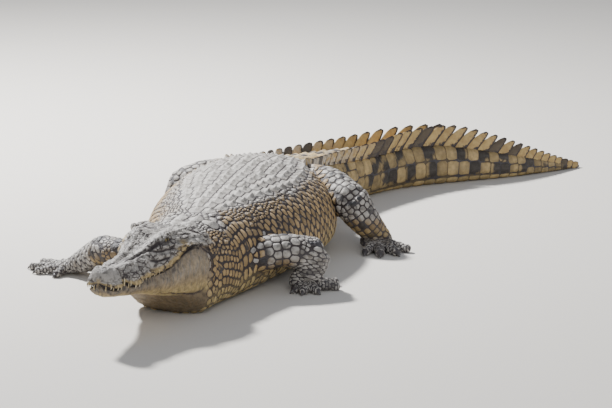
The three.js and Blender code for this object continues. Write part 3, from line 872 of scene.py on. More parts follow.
@dataclass
class Skin:
    """The one skin of the whole animal, inside the coat's tips by the coat's depth."""

    surface: BodySurface
    voxel: float = 3.2
    limb_depth: float = 3.5
    paw_depth: float = 1.2
    root_reach: float = 42.0
    root_rounds: int = 45
    full: Tube | None = None
    tree: BVHTree | None = None
    points: Array | None = None
    ways: Array | None = None
    face_normals: Array | None = None
    on_limb: Array | None = None

    def coat_depth(self, places: Array, shares: Array) -> Array:
        """The coat's depth at places and shares of the way from the back's mid-line to the belly's."""
        trunk = step(-700.0, -560.0, places)
        back = 9.5 * trunk * step(2350.0, 1500.0, places) + 3.6
        side = 2.6 * trunk * step(2350.0, 1700.0, places) + 3.2
        return blend(side, back, step(0.46, 0.30, shares))

    def _trunk(self) -> bpy.types.Object:
        """Snout, neck, trunk and tail."""
        self.full = self.surface.build()
        places = self.surface.places()
        sides = 2 * self.surface.half_sides
        share = np.arange(sides) / self.surface.half_sides
        share = np.minimum(share, 2 - share)
        normals = self.full.normals()
        depth = self.coat_depth(places[:, None], share[None])
        relief = HeadRelief(self.surface.head)
        skin = self.full.points - normals * depth[..., None]
        skin, cracks_and_shade = relief.carved(skin, normals, places)
        skin[..., 2] = np.maximum(skin[..., 2], 1.0)
        forward = self.surface.spine.nape - places
        # The rows along the mouth's line get a high crack value, which paints them dark: painted shade in
        # the gap between the lips.
        lips = self.surface.lip_index + np.arange(1 - self.surface.lip_rows, self.surface.lip_rows)
        gap = np.broadcast_to((0.95 * step(50.0, 90.0, forward))[:, None], (len(places), len(lips)))
        for rows in (lips, sides - lips):
            cracks_and_shade[:, rows] = np.maximum(cracks_and_shade[:, rows], gap)
        points, faces = Tube(skin).mesh_data(pole_out=0.6)
        made = object_of("skin", points * MM, faces)
        write_values(made.data, {"crack": np.append(cracks_and_shade, [0.0, 0.0])})
        return made

    def _limb(self, form: LimbForm) -> bpy.types.Object:
        """One limb, its parts melted into one form."""
        points, faces, count = [], [], 0
        for tube in form.tubes():
            some, quads = tube.mesh_data()
            outward = signed_volume(some[np.array([f[:3] for f in quads])]) > 0
            quads = [tuple(i + count for i in (f if outward else reversed(f))) for f in quads]
            points.append(some)
            faces += quads
            count += len(some)
        limb = object_of("limb", np.vstack(points) * MM, faces, outward=False)
        melt = limb.modifiers.new("melt", "REMESH")
        melt.mode = "VOXEL"
        melt.voxel_size = self.voxel * MM
        melt.use_smooth_shade = True
        applied(limb)
        mesh = limb.data
        place = points_of(mesh)
        place = diffused(place, edges_of(mesh), np.full(len(place), 0.5), 3)
        set_points(mesh, place)
        high = step(30.0, 90.0, place[:, 2] / MM)
        depth = (self.paw_depth + (self.limb_depth - self.paw_depth) * high) * MM
        place = place - normals_of(mesh) * depth[:, None]
        place[:, 2] = np.maximum(place[:, 2], 0.6 * MM)
        set_points(mesh, place)
        return limb

    def build(self) -> bpy.types.Object:
        """The whole skin, with limbs grown on and their roots smoothed."""
        skin = self._trunk()
        marks = [bpy.data.materials.new(word) for word in ("trunk", "limb")]
        for form in LIMBS.values():
            limb = self._limb(form)
            for piece in (skin, limb):
                piece.data.materials.clear()
                for mark in marks:
                    piece.data.materials.append(mark)
            limb.data.polygons.foreach_set("material_index", np.ones(len(limb.data.polygons), np.int32))
            union = skin.modifiers.new("union", "BOOLEAN")
            union.operation, union.solver, union.object = "UNION", "MANIFOLD", limb
            applied(skin)
            bpy.data.objects.remove(limb, do_unlink=True)
        self._smooth_roots(skin.data)
        skin.data.materials.clear()
        skin.data.polygons.foreach_set("use_smooth", np.ones(len(skin.data.polygons), bool))
        self.refresh(skin)
        return skin

    def _smooth_roots(self, mesh: bpy.types.Mesh) -> None:
        """Evens the skin where a limb meets the body."""
        mark, sizes = (numbers_of(mesh.polygons, w, kind=np.int32) for w in ("material_index", "loop_total"))
        corner = numbers_of(mesh.loops, "vertex_index", kind=np.int32)
        owner = np.repeat(mark, sizes)
        points = points_of(mesh)
        both = [np.bincount(corner, owner == k, len(points)) > 0 for k in (0, 1)]
        seam = np.flatnonzero(both[0] & both[1])
        self.on_limb = both[1].astype(float)
        LOG.info("limb roots: %d points on the seams", len(seam))
        tree = tree_of(points[seam])
        reach = self.root_reach * MM
        weight = np.zeros(len(points))
        low, high = points[seam].min(axis=0) - reach, points[seam].max(axis=0) + reach
        near = np.flatnonzero(np.all((points > low) & (points < high), axis=1))
        distance = np.array([tree.find(points[i])[2] for i in near])
        weight[near] = 0.6 * step(reach, reach / 3, distance)
        set_points(mesh, diffused(points, edges_of(mesh), weight, self.root_rounds))

    def refresh(self, skin: bpy.types.Object) -> None:
        """Reads the finished skin, for what is laid on it."""
        mesh = skin.data
        mesh.calc_loop_triangles()
        tri = numbers_of(mesh.loop_triangles, "vertices", 3, np.int32)
        self.points, self.ways = points_of(mesh), normals_of(mesh)
        self.tree = BVHTree.FromPolygons(self.points.tolist(), tri.tolist())
        self.face_normals = unit(self.ways[tri].sum(axis=1))

    def laid(self, points: Array) -> tuple[Array, Array]:
        """The skin's nearest points to some points, in metres, and its outward ways there."""
        find = self.tree.find_nearest
        found = [find(p) for p in points.tolist()]
        there = np.array([f[0] for f in found])
        return there, self.face_normals[np.array([f[2] for f in found])]


@dataclass(frozen=True)
class Welt:
    """A ridge, or a furrow where it is below zero, along a line on the head's left side."""

    height: float
    half: float
    line: tuple

    def rise(self, local: Array) -> Array:
        """How far it lifts points of the head's frame, once its line is laid on them.

        Args:
            local: Points whose side is given as a distance.

        Returns:
            The lift at each, in millimetres.
        """
        flat = local.reshape(-1, 3)
        line = np.asarray(self.line, float)
        reach = 3 * self.half + 14.0
        near = np.flatnonzero(np.all((flat > line.min(0) - reach) & (flat < line.max(0) + reach), axis=1))
        run = run_of(line)
        spots = np.linspace(0, run[-1], int(run[-1] / 4) + 3)
        dense = np.stack([np.interp(spots, run, line[:, k]) for k in range(3)], axis=-1)
        some = flat[near]
        size = (some**2).sum(1)[:, None]
        laid = some[(size - 2 * some @ dense.T).argmin(axis=0)]
        laid[1:-1] = (laid[:-2] + laid[1:-1] + laid[2:]) / 3
        away = np.maximum(size - 2 * some @ laid.T + (laid**2).sum(1), 0)
        ends = np.minimum(1, np.minimum(spots, run[-1] - spots) / (0.25 * run[-1]) + 0.25)
        lift = np.zeros(len(flat))
        lift[near] = self.height * (ends * np.exp(-away / self.half**2)).max(axis=1)
        return lift.reshape(local.shape[:-1])


@dataclass
class HeadRelief:
    """Bone ridges, cracks, lids, nostrils and jowl folds of the head, carved into the skin."""

    head: HeadForm
    # radius of the lids about the eye's middle, and of the hollow inside their slit
    lid_radius: float = 19.4
    under_lid: float = 14.0
    # the slit's half length and its opening, in radians
    slit_half: float = 0.80
    slit_open: float = 0.64
    # the most that ridges add, and how far the relief stays behind the snout's tip
    highest: float = 6.5
    tip_room: float = 1.5
    noise: Noise = field(default_factory=lambda: Noise(11))
    welts: tuple = (
        # brow, hollow before the eye, and the crease behind it
        Welt(6.0, 8.0, ((200, 42, 101), (186, 48, 108), (170, 53, 116), (150, 60, 121), (122, 67, 122),
                        (92, 66, 124))),
        Welt(-6.5, 7.0, ((226, 48, 80), (212, 51, 88), (198, 55, 95), (186, 60, 98))),
        Welt(-3.0, 4.0, ((128, 90, 98), (112, 100, 95), (92, 107, 93))),
        Welt(3.0, 5.0, ((140, 78, 108), (122, 88, 104), (100, 96, 102))),
        # ridges and furrows below the eye, down to the lip
        Welt(4.0, 5.5, ((222, 56, 80), (194, 71, 82), (167, 83, 84), (145, 92, 86), (127, 103, 84),
                        (108, 114, 80))),
        Welt(-5.0, 4.5, ((237, 46, 79), (229, 57, 73), (210, 67, 72), (191, 77, 73), (162, 92, 74),
                         (136, 103, 74))),
        Welt(4.0, 5.5, ((246, 60, 66), (215, 76, 60), (192, 86, 60), (160, 99, 64), (138, 108, 66))),
        Welt(-5.5, 4.5, ((268, 60, 54), (241, 73, 47), (220, 82, 43), (198, 90, 48), (172, 99, 54))),
        Welt(4.5, 5.5, ((296, 54, 56), (267, 67, 46), (247, 80, 33), (226, 88, 28), (200, 96, 34))),
        Welt(-4.0, 4.5, ((300, 64, 38), (276, 76, 24), (256, 82, 18))),
        Welt(3.5, 5.0, ((330, 56, 44), (304, 68, 26), (288, 74, 14))),
        # the groove from the eye along the snout, and the ridge inside it
        Welt(-4.5, 5.5, ((345, 26, 60), (309, 30, 67), (270, 35, 74), (237, 44, 80), (215, 49, 87))),
        Welt(4.5, 8.0, ((194, 36, 109), (236, 30, 90), (286, 22, 74), (336, 18, 63), (380, 16, 56))),
        Welt(-3.0, 8.0, ((250, 8, 76), (320, 5, 63), (400, 4, 50))),
        Welt(3.5, 9.0, ((398, 36, 50), (378, 40, 50), (350, 42, 50))),
        Welt(-3.5, 6.0, ((428, 20, 50), (424, 38, 36), (422, 48, 16))),
        # the skull's table, its windows, the ear's slit and the crease behind the skull
        Welt(5.0, 8.0, ((104, 62, 124), (60, 70, 125), (12, 80, 122), (-20, 92, 116))),
        Welt(-4.0, 13.0, ((80, 34, 121), (50, 36, 121))),
        Welt(-5.0, 3.6, ((106, 80, 110), (80, 90, 108), (46, 99, 105))),
        Welt(4.0, 6.0, ((98, 98, 98), (60, 108, 99), (20, 118, 100))),
        Welt(-5.5, 5.0, ((40, 84, 120), (20, 110, 110), (2, 132, 96), (-30, 136, 88), (-58, 136, 72))),
        Welt(3.0, 6.0, ((96, 112, 88), (64, 122, 92), (30, 130, 92))),
        # the lip's rear end: a fold that arches round the jowl, and creases either side of it
        Welt(5.5, 7.5, ((205, 97, 32), (173, 104, 44), (150, 108, 60), (127, 113, 74), (100, 120, 82),
                        (66, 131, 85), (28, 138, 79), (-6, 144, 62), (-26, 148, 34), (-27, 150, 2),
                        (-22, 147, -38), (-4, 138, -72), (30, 130, -86))),
        Welt(-6.5, 5.0, ((140, 114, 53), (127, 116, 61), (102, 124, 69), (70, 133, 71), (34, 139, 64),
                         (8, 143, 51), (-8, 147, 30), (-9, 149, 3), (-4, 145, -36), (12, 134, -62))),
        Welt(-5.5, 4.5, ((36, 136, 94), (2, 142, 78), (-28, 148, 46), (-44, 150, 0), (-42, 146, -40),
                         (-24, 138, -80))),
        Welt(-5.0, 5.5, ((-4, 140, -60), (24, 132, -80), (66, 124, -90), (124, 105, -88), (180, 88, -82),
                         (236, 70, -72))),
        Welt(2.5, 8.0, ((30, 138, -62), (80, 126, -72), (140, 104, -72), (210, 80, -64))),
        Welt(-2.0, 4.0, ((90, 128, 50), (60, 138, 44), (34, 144, 34))),
        Welt(-1.8, 4.0, ((60, 140, 26), (36, 145, 14), (24, 147, -8))),
        # nose
        Welt(4.0, 12.0, ((468, 13, 56), (476, 0, 55))),
        Welt(-3.0, 5.0, ((444, 0, 56), (447, 16, 55), (456, 34, 46))),
    )

    def carved(self, skin: Array, normals: Array, places: Array) -> tuple[Array, Array]:
        """The skin's rings with the head's relief.

        Args:
            skin: Rings of the bare skin, in millimetres.
            normals: Outward ways at the rings' points.
            places: Places of the rings along the spine.

        Returns:
            The carved rings, and how deep in a crack each point lies; round the eyes this holds painted
            shade instead, and on ridge tops it falls below nought, which is painted paler.
        """
        rows = np.flatnonzero(places < -640.0)
        local = self.head.locate(skin[rows] * MM)
        sided = local * [1, 0, 1] + np.abs(local) * [0, 1, 0]
        fade = step(-110.0, -62.0, local[..., 0])
        warp = np.stack([self.noise.plain(local + 31.0 * k, 26.0) for k in range(3)], axis=-1)
        wavy = sided + 3.0 * warp
        welts = [welt.rise(wavy) for welt in self.welts]
        ridges = np.minimum(sum(np.maximum(w, 0) for w in welts), self.highest)
        furrows = sum(np.minimum(w, 0) for w in welts)
        crack, relief = self._hide(local, sided, warp)
        rise = relief + ridges + furrows + self._lips(sided)
        crack = np.maximum(crack, np.clip(-0.24 * furrows - 0.25, 0, 1.0))
        # Ridge tops get a crack value below nought, which the skin's finish paints paler: partly wear,
        # partly painted highlight.
        crest = np.clip(0.16 * ridges + 0.22 * (relief - 0.6), 0, 1) * (1 - self.cheek(sided))
        crack = np.where(crack < 0.12, crack - crest, crack)
        moved = skin[rows] + normals[rows] * (rise * fade)[..., None]
        local, eye_shade = self._lids(self.head.locate(moved * MM))
        local = self._nostrils(local)
        local[..., 0] = np.minimum(local[..., 0], self.head.snout - self.tip_room)
        skin, cracks_and_shade = skin.copy(), np.zeros(skin.shape[:2])
        skin[rows] = self.head.place(local)
        # Round the eyes the crack value holds painted shade in place of the cracks.
        cracks_and_shade[rows] = np.where(eye_shade > 0.1, eye_shade, crack * fade)
        return skin, cracks_and_shade

    def jowl(self, forward: Array) -> Array:
        """Height of the fold that bounds the smooth cheek from above."""
        return np.interp(forward, [-16, -4, 12, 40, 70, 100, 127], [10, 42, 57, 69, 72, 70, 61])

    def cheek(self, sided: Array) -> Array:
        """One on the smooth hide of jaw and cheek, inside the lip and the jowl's fold."""
        forward, up = sided[..., 0], sided[..., 2]
        roof = np.where(forward > 120, self.head.lip(forward), self.jowl(forward))
        return step(2.0, -3.0, up - roof) * step(-18.0, -6.0, forward - 0.10 * np.maximum(-up, 0))

    def _hide(self, local: Array, sided: Array, warp: Array) -> tuple[Array, Array]:
        """The head's fine relief.

        Args:
            local: Points of the head's frame.
            sided: The same with their side as a distance.
            warp: Noise that bends the pattern at each.

        Returns:
            How deep in a crack between small bony plates each lies, and how far it stands out.
        """
        forward, up = sided[..., 0], sided[..., 2]
        over = 1 - self.cheek(sided)
        nose = step(438.0, 456.0, forward) * step(10.0, 26.0, up)
        rough = self.noise.layered(local, 26.0)
        long = local * [0.55, 1.0, 1.0] + 4.5 * warp
        coarse = self.noise.edges(long, 15.0)
        fine = self.noise.edges(long + 40.0, 6.5)
        wide, thin = bell(coarse / 0.13), bell(fine / 0.17)
        patchy = 0.35 + 0.65 * step(-0.35, 0.35, rough)
        crack = np.clip(np.maximum(wide, 0.6 * thin) * patchy, 0, 1) * (1 - 0.8 * nose)
        threads = np.clip(1 - 2.6 * np.abs(self.noise.plain(local * [1.6, 1.0, 0.5], 8.0)), 0, 1)
        plates = 2.0 * rough + 1.6 * np.minimum(coarse, 0.6) - 1.9 * crack
        smooth = 0.8 * rough - 1.0 * threads
        return crack * over, over * (1 - 0.7 * nose) * plates + (1 - over) * smooth

    def _lips(self, sided: Array) -> Array:
        """Full lips that swell over each large tooth."""
        forward, up = sided[..., 0], sided[..., 2]
        lip = self.head.lip(forward)
        waves = sum(hill(forward, place, 13.0) for place in (450, 378, 352, 296, 262, 226, 190, 156))
        above = bell((up - lip - 7.0) / 6.5) * (2.0 + 4.5 * waves)
        below = bell((up - lip + 9.0) / 5.0) * (0.4 + 1.0 * waves)
        return (above + below) * step(125.0, 155.0, forward) * step(496.0, 470.0, forward)

    def _lids(self, local: Array) -> tuple[Array, Array]:
        """Lids drawn over the eyeballs, open along a slit.

        Args:
            local: Points of the head's frame.

        Returns:
            The moved points, and the painted shade round the slits at each point.
        """
        result, dark = local.copy(), np.zeros(local.shape[:-1])
        for side in (-1, 1):
            centre, look = self.head.eye(side)
            lengthways = unit(np.array([1.0, 0, 0]) - look[0] * look + np.array([0, 0, -0.16]))
            lengthways = unit(lengthways - (lengthways @ look) * look)
            upright = np.cross(look, lengthways)
            upright = upright * np.sign(upright[2])
            away = result - centre
            radius = np.linalg.norm(away, axis=-1)
            way = away / np.maximum(radius, 1e-6)[..., None]
            front = way @ look
            x, y = np.arctan2(way @ lengthways, front), np.arctan2(way @ upright, front)
            width = self.slit_open * np.clip(1 - (x / self.slit_half) ** 2, 0, 1) ** 0.6
            middle = -0.02 - 0.16 * (x / self.slit_half) ** 2
            gap = np.abs(y - middle) - width / 2
            inside = step(0.05, -0.05, gap) * (np.abs(x) < self.slit_half) * (front > 0.2)
            near = step(34.0, 23.0, radius) * step(-0.1, 0.35, front)
            rim = np.where(y > middle, 3.0, 2.0) * bell(gap / 0.14) * (np.abs(x) < 1.2 * self.slit_half)
            folds = 0.8 * np.sin(gap * 24.0) * step(0.9, 0.2, gap)
            lidded = radius + (np.maximum(radius, self.lid_radius + rim + folds) - radius) * near
            lidded = blend(lidded, self.under_lid, inside)
            result = centre + way * lidded[..., None]
            shade = bell(np.maximum(gap, 0) / 0.16) * (front > 0.2) * (radius < 34.0)
            dark = np.maximum(dark, 0.8 * shade * (np.abs(x) < 1.3 * self.slit_half))
        return result, dark

    def _nostrils(self, local: Array) -> Array:
        """Two slits on the nose's pad."""
        result = local.copy()
        forward, side, up = local[..., 0], np.abs(local[..., 1]), local[..., 2]
        bow = 472.0 + 5.0 * ((side - 13.0) / 8.0) ** 2
        pit = np.exp(-(((forward - bow) / 3.4) ** 2) - ((side - 13.0) / 7.0) ** 2) * step(30.0, 45.0, up)
        result[..., 2] -= 8.0 * pit
        return result


@dataclass
class Eye:
    """An eyeball with its iris and upright slit, looking out of the lids."""

    head: HeadForm
    side: int
    radius: float = 16.6
    sides: int = 40
    rings: int = 28
    iris_angle: float = 0.62
    slit_share: float = 0.16

    def node(self) -> str:
        """The name of the solid that it stands for."""
        return "eye_left" if self.side > 0 else "eye_right"

    def build(self) -> bpy.types.Object:
        """The eyeball, with the places of iris and slit as numbers on its points."""
        centre, look = self.head.eye(self.side)
        upright = unit(np.array([0, 0, 1.0]) - look[2] * look)
        across = np.cross(look, upright)
        tilt = np.linspace(0, np.pi, self.rings + 2)[1:-1, None]
        turn = np.linspace(0, 2 * np.pi, self.sides, endpoint=False)[None]
        x, y = np.sin(tilt) * np.cos(turn), np.sin(tilt) * np.sin(turn)
        z = np.cos(tilt) + 0 * turn
        points = np.stack([x, y, z], axis=-1).reshape(-1, 3)
        points = np.vstack([points, [0, 0, 1], [0, 0, -1]])
        ball = points @ np.stack([across, upright, look])
        placed = self.head.place(centre + self.radius * ball) * MM
        made = object_of(self.node().replace("eye", "eyeball"), placed, horn_faces(self.rings, self.sides))
        angle = np.arccos(np.clip(points[:, 2], -1, 1))
        slit = np.abs(points[:, 0]) / np.maximum(self.slit_share * np.cos(1.5 * points[:, 1]), 0.01)
        slit += 3 * (np.abs(points[:, 1]) > 0.5)
        write_values(made.data, {"iris": angle / self.iris_angle, "slit": slit})
        return made


# ---- Crest, teeth and claws.


@dataclass
class Batch:
    """Many small closed forms gathered into one mesh, with values for each point."""

    points: list[Array] = field(default_factory=list)
    faces: list[Array] = field(default_factory=list)
    spots: list[Array] = field(default_factory=list)
    values: dict[str, list[Array]] = field(default_factory=dict)
    count: int = 0

    def add(self, points: Array, faces: Array, spots: Array, **values: Array) -> None:
        """Adds a form.

        Args:
            points: Its points, in metres.
            faces: Its faces, as rows of its own point numbers.
            spots: Each point's place on the unwrap.
            values: One number for each point, by name.
        """
        self.points.append(points)
        self.faces.append(faces + self.count)
        self.spots.append(spots)
        for name, rows in values.items():
            self.values.setdefault(name, []).append(np.broadcast_to(rows, len(points)))
        self.count += len(points)

    def built(self, name: str) -> bpy.types.Object:
        """The gathered mesh as an object, with its values and its unwrap."""
        points = np.vstack(self.points)
        points[:, 2] = np.maximum(points[:, 2], 0.0)
        made = object_of(name, points, np.vstack(self.faces), outward=False)
        write_values(made.data, {word: np.concatenate(rows) for word, rows in self.values.items()})
        write_unwrap(made.data, np.vstack(self.spots))
        return made


def horn_faces(levels: int, sides: int) -> Array:
    """Triangles of a closed stack of rings, whose first and last rings are drawn to a point each."""
    quads = ring_quads(levels, sides)
    count = levels * sides
    here = np.arange(sides)
    turned = np.roll(here, -1)
    foot = np.stack([np.full(sides, count), turned, here], -1)
    tip = np.stack([np.full(sides, count + 1), count - sides + here, count - sides + turned], -1)
    return np.concatenate([quads[:, [0, 1, 2]], quads[:, [0, 2, 3]], foot, tip])


@dataclass
class Crest:
    """Keeled plates on the tail: two rows that close on the mid-line, then one."""

    spine: Spine
    body: BodyForm
    start: float = 430.0
    merge: float = 1640.0
    pitches: tuple = ((430, 52), (1500, 56), (2350, 30))
    plates: tuple = (
        # place, height, half spread of the two rows
        (430, 12, 152), (650, 20, 126), (850, 29, 106), (1050, 40, 90), (1250, 51, 70), (1450, 64, 36),
        (1640, 74, 8), (1780, 66, 0), (2000, 44, 0), (2200, 22, 0), (2350, 8, 0),
    )
    # where the root starts and ends, over the pitch, and how far the tip leans back, over the height
    root_start: float = -0.62
    root_end: float = 0.60
    sweep: float = 1.1
    root_half: float = 11.0
    edge_half: float = 3.0
    sink: float = 20.0
    dark_share: float = 0.22
    levels: int = 14
    sides: int = 24

    def pitch(self, place: float) -> float:
        """Distance from a plate to the next."""
        return float(row_at(self.pitches, place)[0])

    def places(self) -> list[float]:
        """Places of the plates, closer together towards the tail's tip."""
        return paced(self.start, self.spine.tail_tip - 20, self.pitch)

    def _plate(self, batch: Batch, place: float, offset: float, height: float, dark: float) -> None:
        """Adds one plate that leans back from its root.

        Args:
            batch: Where it is gathered.
            place: Its place along the spine.
            offset: Its distance to the left of the mid-line.
            height: How high it stands.
            dark: How dark it is, from 0 to 1.
        """
        length = self.pitch(place)
        t = np.linspace(0, 1, self.levels)[:, None]
        turn = np.linspace(0, 2 * np.pi, self.sides, endpoint=False)[None]
        middle = (self.root_start + self.root_end) / 2 + self.sweep * height / length * t**1.2
        reach = (self.root_end - self.root_start) / 2 * (1 - 0.06 * t) * np.maximum(1 - t**7, 0.004) ** 0.5
        share = middle - reach * np.cos(turn)
        half = self.edge_half + (self.root_half - self.edge_half) * (1 - t) ** 0.7
        across = half * np.sign(np.sin(turn)) * np.abs(np.sin(turn)) ** 0.8 * np.maximum(1 - t**8, 0.05)
        up = (height + self.sink) * t - self.sink + 0 * share
        base = place + np.minimum(share, self.root_end) * length
        point, tailward, left = self.spine.at(np.array([place]))
        lean = 0.25 * offset / 100
        z = self.body.back_height(base.ravel(), np.full(base.size, offset)).reshape(base.shape)
        ring = point[0] + (share * length)[..., None] * tailward[0]
        ring = ring + (offset + across + lean * np.maximum(up, 0))[..., None] * left[0]
        ring[..., 2] = z + up
        foot, tip = ring[0].mean(axis=0), ring[-1].mean(axis=0)
        points = np.vstack([ring.reshape(-1, 3), foot, tip]) * MM
        root = np.array([(place - self.start) / 2000.0 * 0.9 + 0.05, 0.5 + offset / 400.0])
        spread = np.column_stack([(share - 0.2).ravel(), (up / 120).ravel()]) * 0.003
        spots = root + np.vstack([spread, np.zeros((2, 2))])
        # The edge value darkens each plate: painted shade on its hind side, and darker also at the tip and
        # low down near the root.
        painted_shade_side = np.append(((1 - np.cos(turn)) / 2 + 0 * t).ravel(), [0.5, 1.0])
        high = np.append((t + 0 * share).ravel(), [0.0, 1.0])
        edge = np.clip(np.maximum(painted_shade_side**3, high**9) + 0.3 * (high < 0.3), 0, 1)
        pale = float(np.interp(place, [800, 1250], [0.75, 0.0]))
        batch.add(points, horn_faces(self.levels, self.sides), spots, edge=edge, dark=dark, pale=pale)

    def build(self) -> bpy.types.Object:
        """All the plates."""
        batch = Batch()
        rng = np.random.default_rng(8)
        for place in self.places():
            height, spread = row_at(self.plates, place)
            for side in (-1, 1) if place < self.merge else (0,):
                dark = 0.85 if rng.random() < self.dark_share else 0.15 * rng.random()
                self._plate(batch, place, side * spread, height, dark)
        return batch.built("crest")


def add_horn(batch: Batch, path: Array, radii: Array, flat: float, spot: tuple, sides: int = 14) -> None:
    """Gathers a curved horn along a path, with its rise from root to tip as a value.

    Args:
        batch: Where it is gathered.
        path: Points of its middle line, in millimetres, from the root to the tip.
        radii: Its radius at each.
        flat: Its depth over its breadth.
        spot: Its place on the unwrap.
        sides: Points in each ring.
    """
    _, across, through = limb_frames(path)
    turn = np.linspace(0, 2 * np.pi, sides, endpoint=False)[None, :, None]
    ring = path[:, None] + radii[:, None, None] * (
        across[:, None] * np.cos(turn) + flat * through[:, None] * np.sin(turn)
    )
    points = np.vstack([ring.reshape(-1, 3), path[0], path[-1]])
    faces = horn_faces(len(path), sides)
    if signed_volume(points[faces]) < 0:
        faces = faces[:, ::-1]
    rise = np.append(np.repeat(np.linspace(0, 1, len(path)), sides), [0.0, 1.0])
    batch.add(points * MM, faces, np.broadcast_to(spot, (len(points), 2)), rise=rise)


@dataclass
class Teeth:
    """Cone-shaped teeth that show along the closed mouth."""

    head: HeadForm
    upper: tuple = (
        (486, 10), (468, 13), (450, 15), (398, 11), (378, 18), (358, 16),
        (336, 10), (312, 9), (290, 11), (266, 9), (242, 8),
    )
    lower: tuple = ((486, 11), (470, 9), (424, 22), (402, 9))
    shown: float = 0.66
    slenderness: float = 0.25
    sink: float = 12.0
    flat: float = 0.85

    def _row(self, batch: Batch, rows: tuple, down: bool) -> None:
        """Adds the teeth of one jaw on both sides."""
        table = self.head.skull if down else self.head.jaw
        inset = 5.0 if down else 2.0
        sign = -1.0 if down else 1.0
        t = np.linspace(0, 1, 10)
        for forward, full in rows:
            length = self.shown * full
            half = float(row_at(table, forward)[0]) - inset
            lip = float(self.head.lip(np.array([forward]))[0])
            reach = -self.sink + (length + self.sink) * t
            bow = 2.2 * np.sin(np.pi * t) * (1 if down else 0.6)
            radii = max(2.3, self.slenderness * length) * (1 - t**1.7) ** 0.75 + 0.25
            for side in (-1, 1):
                local = np.stack([forward - 0.08 * reach, side * (half + bow), lip + sign * reach], axis=-1)
                spot = (0.5 + (forward / 1200.0 - 0.25), 0.5 + (side * 0.2 + sign * 0.1))
                add_horn(batch, self.head.place(local), radii, self.flat, spot)

    def build(self) -> bpy.types.Object:
        """All the teeth."""
        batch = Batch()
        self._row(batch, self.upper, down=True)
        self._row(batch, self.lower, down=False)
        return batch.built("teeth")


@dataclass
class Claws:
    """Curved claws on the inner toes."""

    shown: float = 0.72
    sunk: float = 0.35
    half: float = 0.43
    flat: float = 0.9

    def build(self) -> bpy.types.Object:
        """All the claws."""
        batch = Batch()
        for number, form in enumerate(LIMBS.values()):
            for digit, ((root, tip), length) in enumerate(zip(form.toe_lines(), form.claws)):
                if not length:
                    continue
                way = unit((tip - root) * [1, 1, 0])
                t = np.linspace(0, 1, 12)
                start, end = tip - self.sunk * form.thick * way, tip + self.shown * length * way
                path = start + (end - start) * t[:, None]
                path[:, 2] = (tip[2] + 3.0) * (1 - t) + 2.2 * t + 3.5 * np.sin(np.pi * t)
                radii = self.half * form.thick * (1 - t**2.2) ** 0.8 + 0.8
                add_horn(batch, path, radii, self.flat, (0.1 + 0.2 * number, 0.1 + 0.15 * digit))
        return batch.built("claws")


# ---- The coat of scales.


SMALL = (14, (1.0, 0.92, 0.7, 0.38))


class Patch(Enum):
    """The coat's pieces, with the points round each scale and the steps from its edge to its middle."""

    NECK = ("scales_neck", 18, (1.0, 0.93, 0.78, 0.55, 0.28))
    BACK = ("scales_back", 32, (1.0, 0.95, 0.86, 0.72, 0.5, 0.25))
    FLANK_LEFT = ("scales_flank_left", *SMALL)
    FLANK_RIGHT = ("scales_flank_right", *SMALL)
    BELLY = ("scales_belly", 10, (1.0, 0.9, 0.5))
    TAIL_BASE = ("scales_tail_base", 18, (1.0, 0.94, 0.78, 0.42))
    TAIL_END = ("scales_tail_end", 16, (1.0, 0.93, 0.7, 0.38))
    ARM_LEFT = ("scales_arm_left", *SMALL)
    ARM_RIGHT = ("scales_arm_right", *SMALL)
    LEG_LEFT = ("scales_leg_left", *SMALL)
    LEG_RIGHT = ("scales_leg_right", *SMALL)


SIZES = {"radius": 10.0, "height": 3.0, "keel": 0.0, "square": 9.0, "room": 1.6, "border": 2.2, "slim": 1.0}
BED_ROWS = ("points", "along", *SIZES, "spots")


@dataclass
class Bed:
    """Seats of scales: one row of each array for each scale, sizes in millimetres."""

    points: Array
    along: Array
    radius: Array
    height: Array
    keel: Array
    square: Array
    room: Array
    border: Array
    slim: Array
    spots: Array
    patch: list

    @staticmethod
    def joined(beds: list["Bed"]) -> "Bed":
        """One bed of many."""
        arrays = [np.concatenate([getattr(b, name) for b in beds]) for name in BED_ROWS]
        return Bed(*arrays, patch=[p for b in beds for p in b.patch])

    def chosen(self, which: Array) -> "Bed":
        """The scales that a list of numbers names."""
        return Bed(*[getattr(self, name)[which] for name in BED_ROWS], patch=[self.patch[i] for i in which])


BACK_EDGE = (
    # place, arc distance from the mid-line to the edge of the back's plates
    (-482, 52), (-425, 88), (-350, 122), (-245, 152), (-155, 182), (-70, 208), (25, 230),
    (205, 226), (330, 205), (425, 176),
)


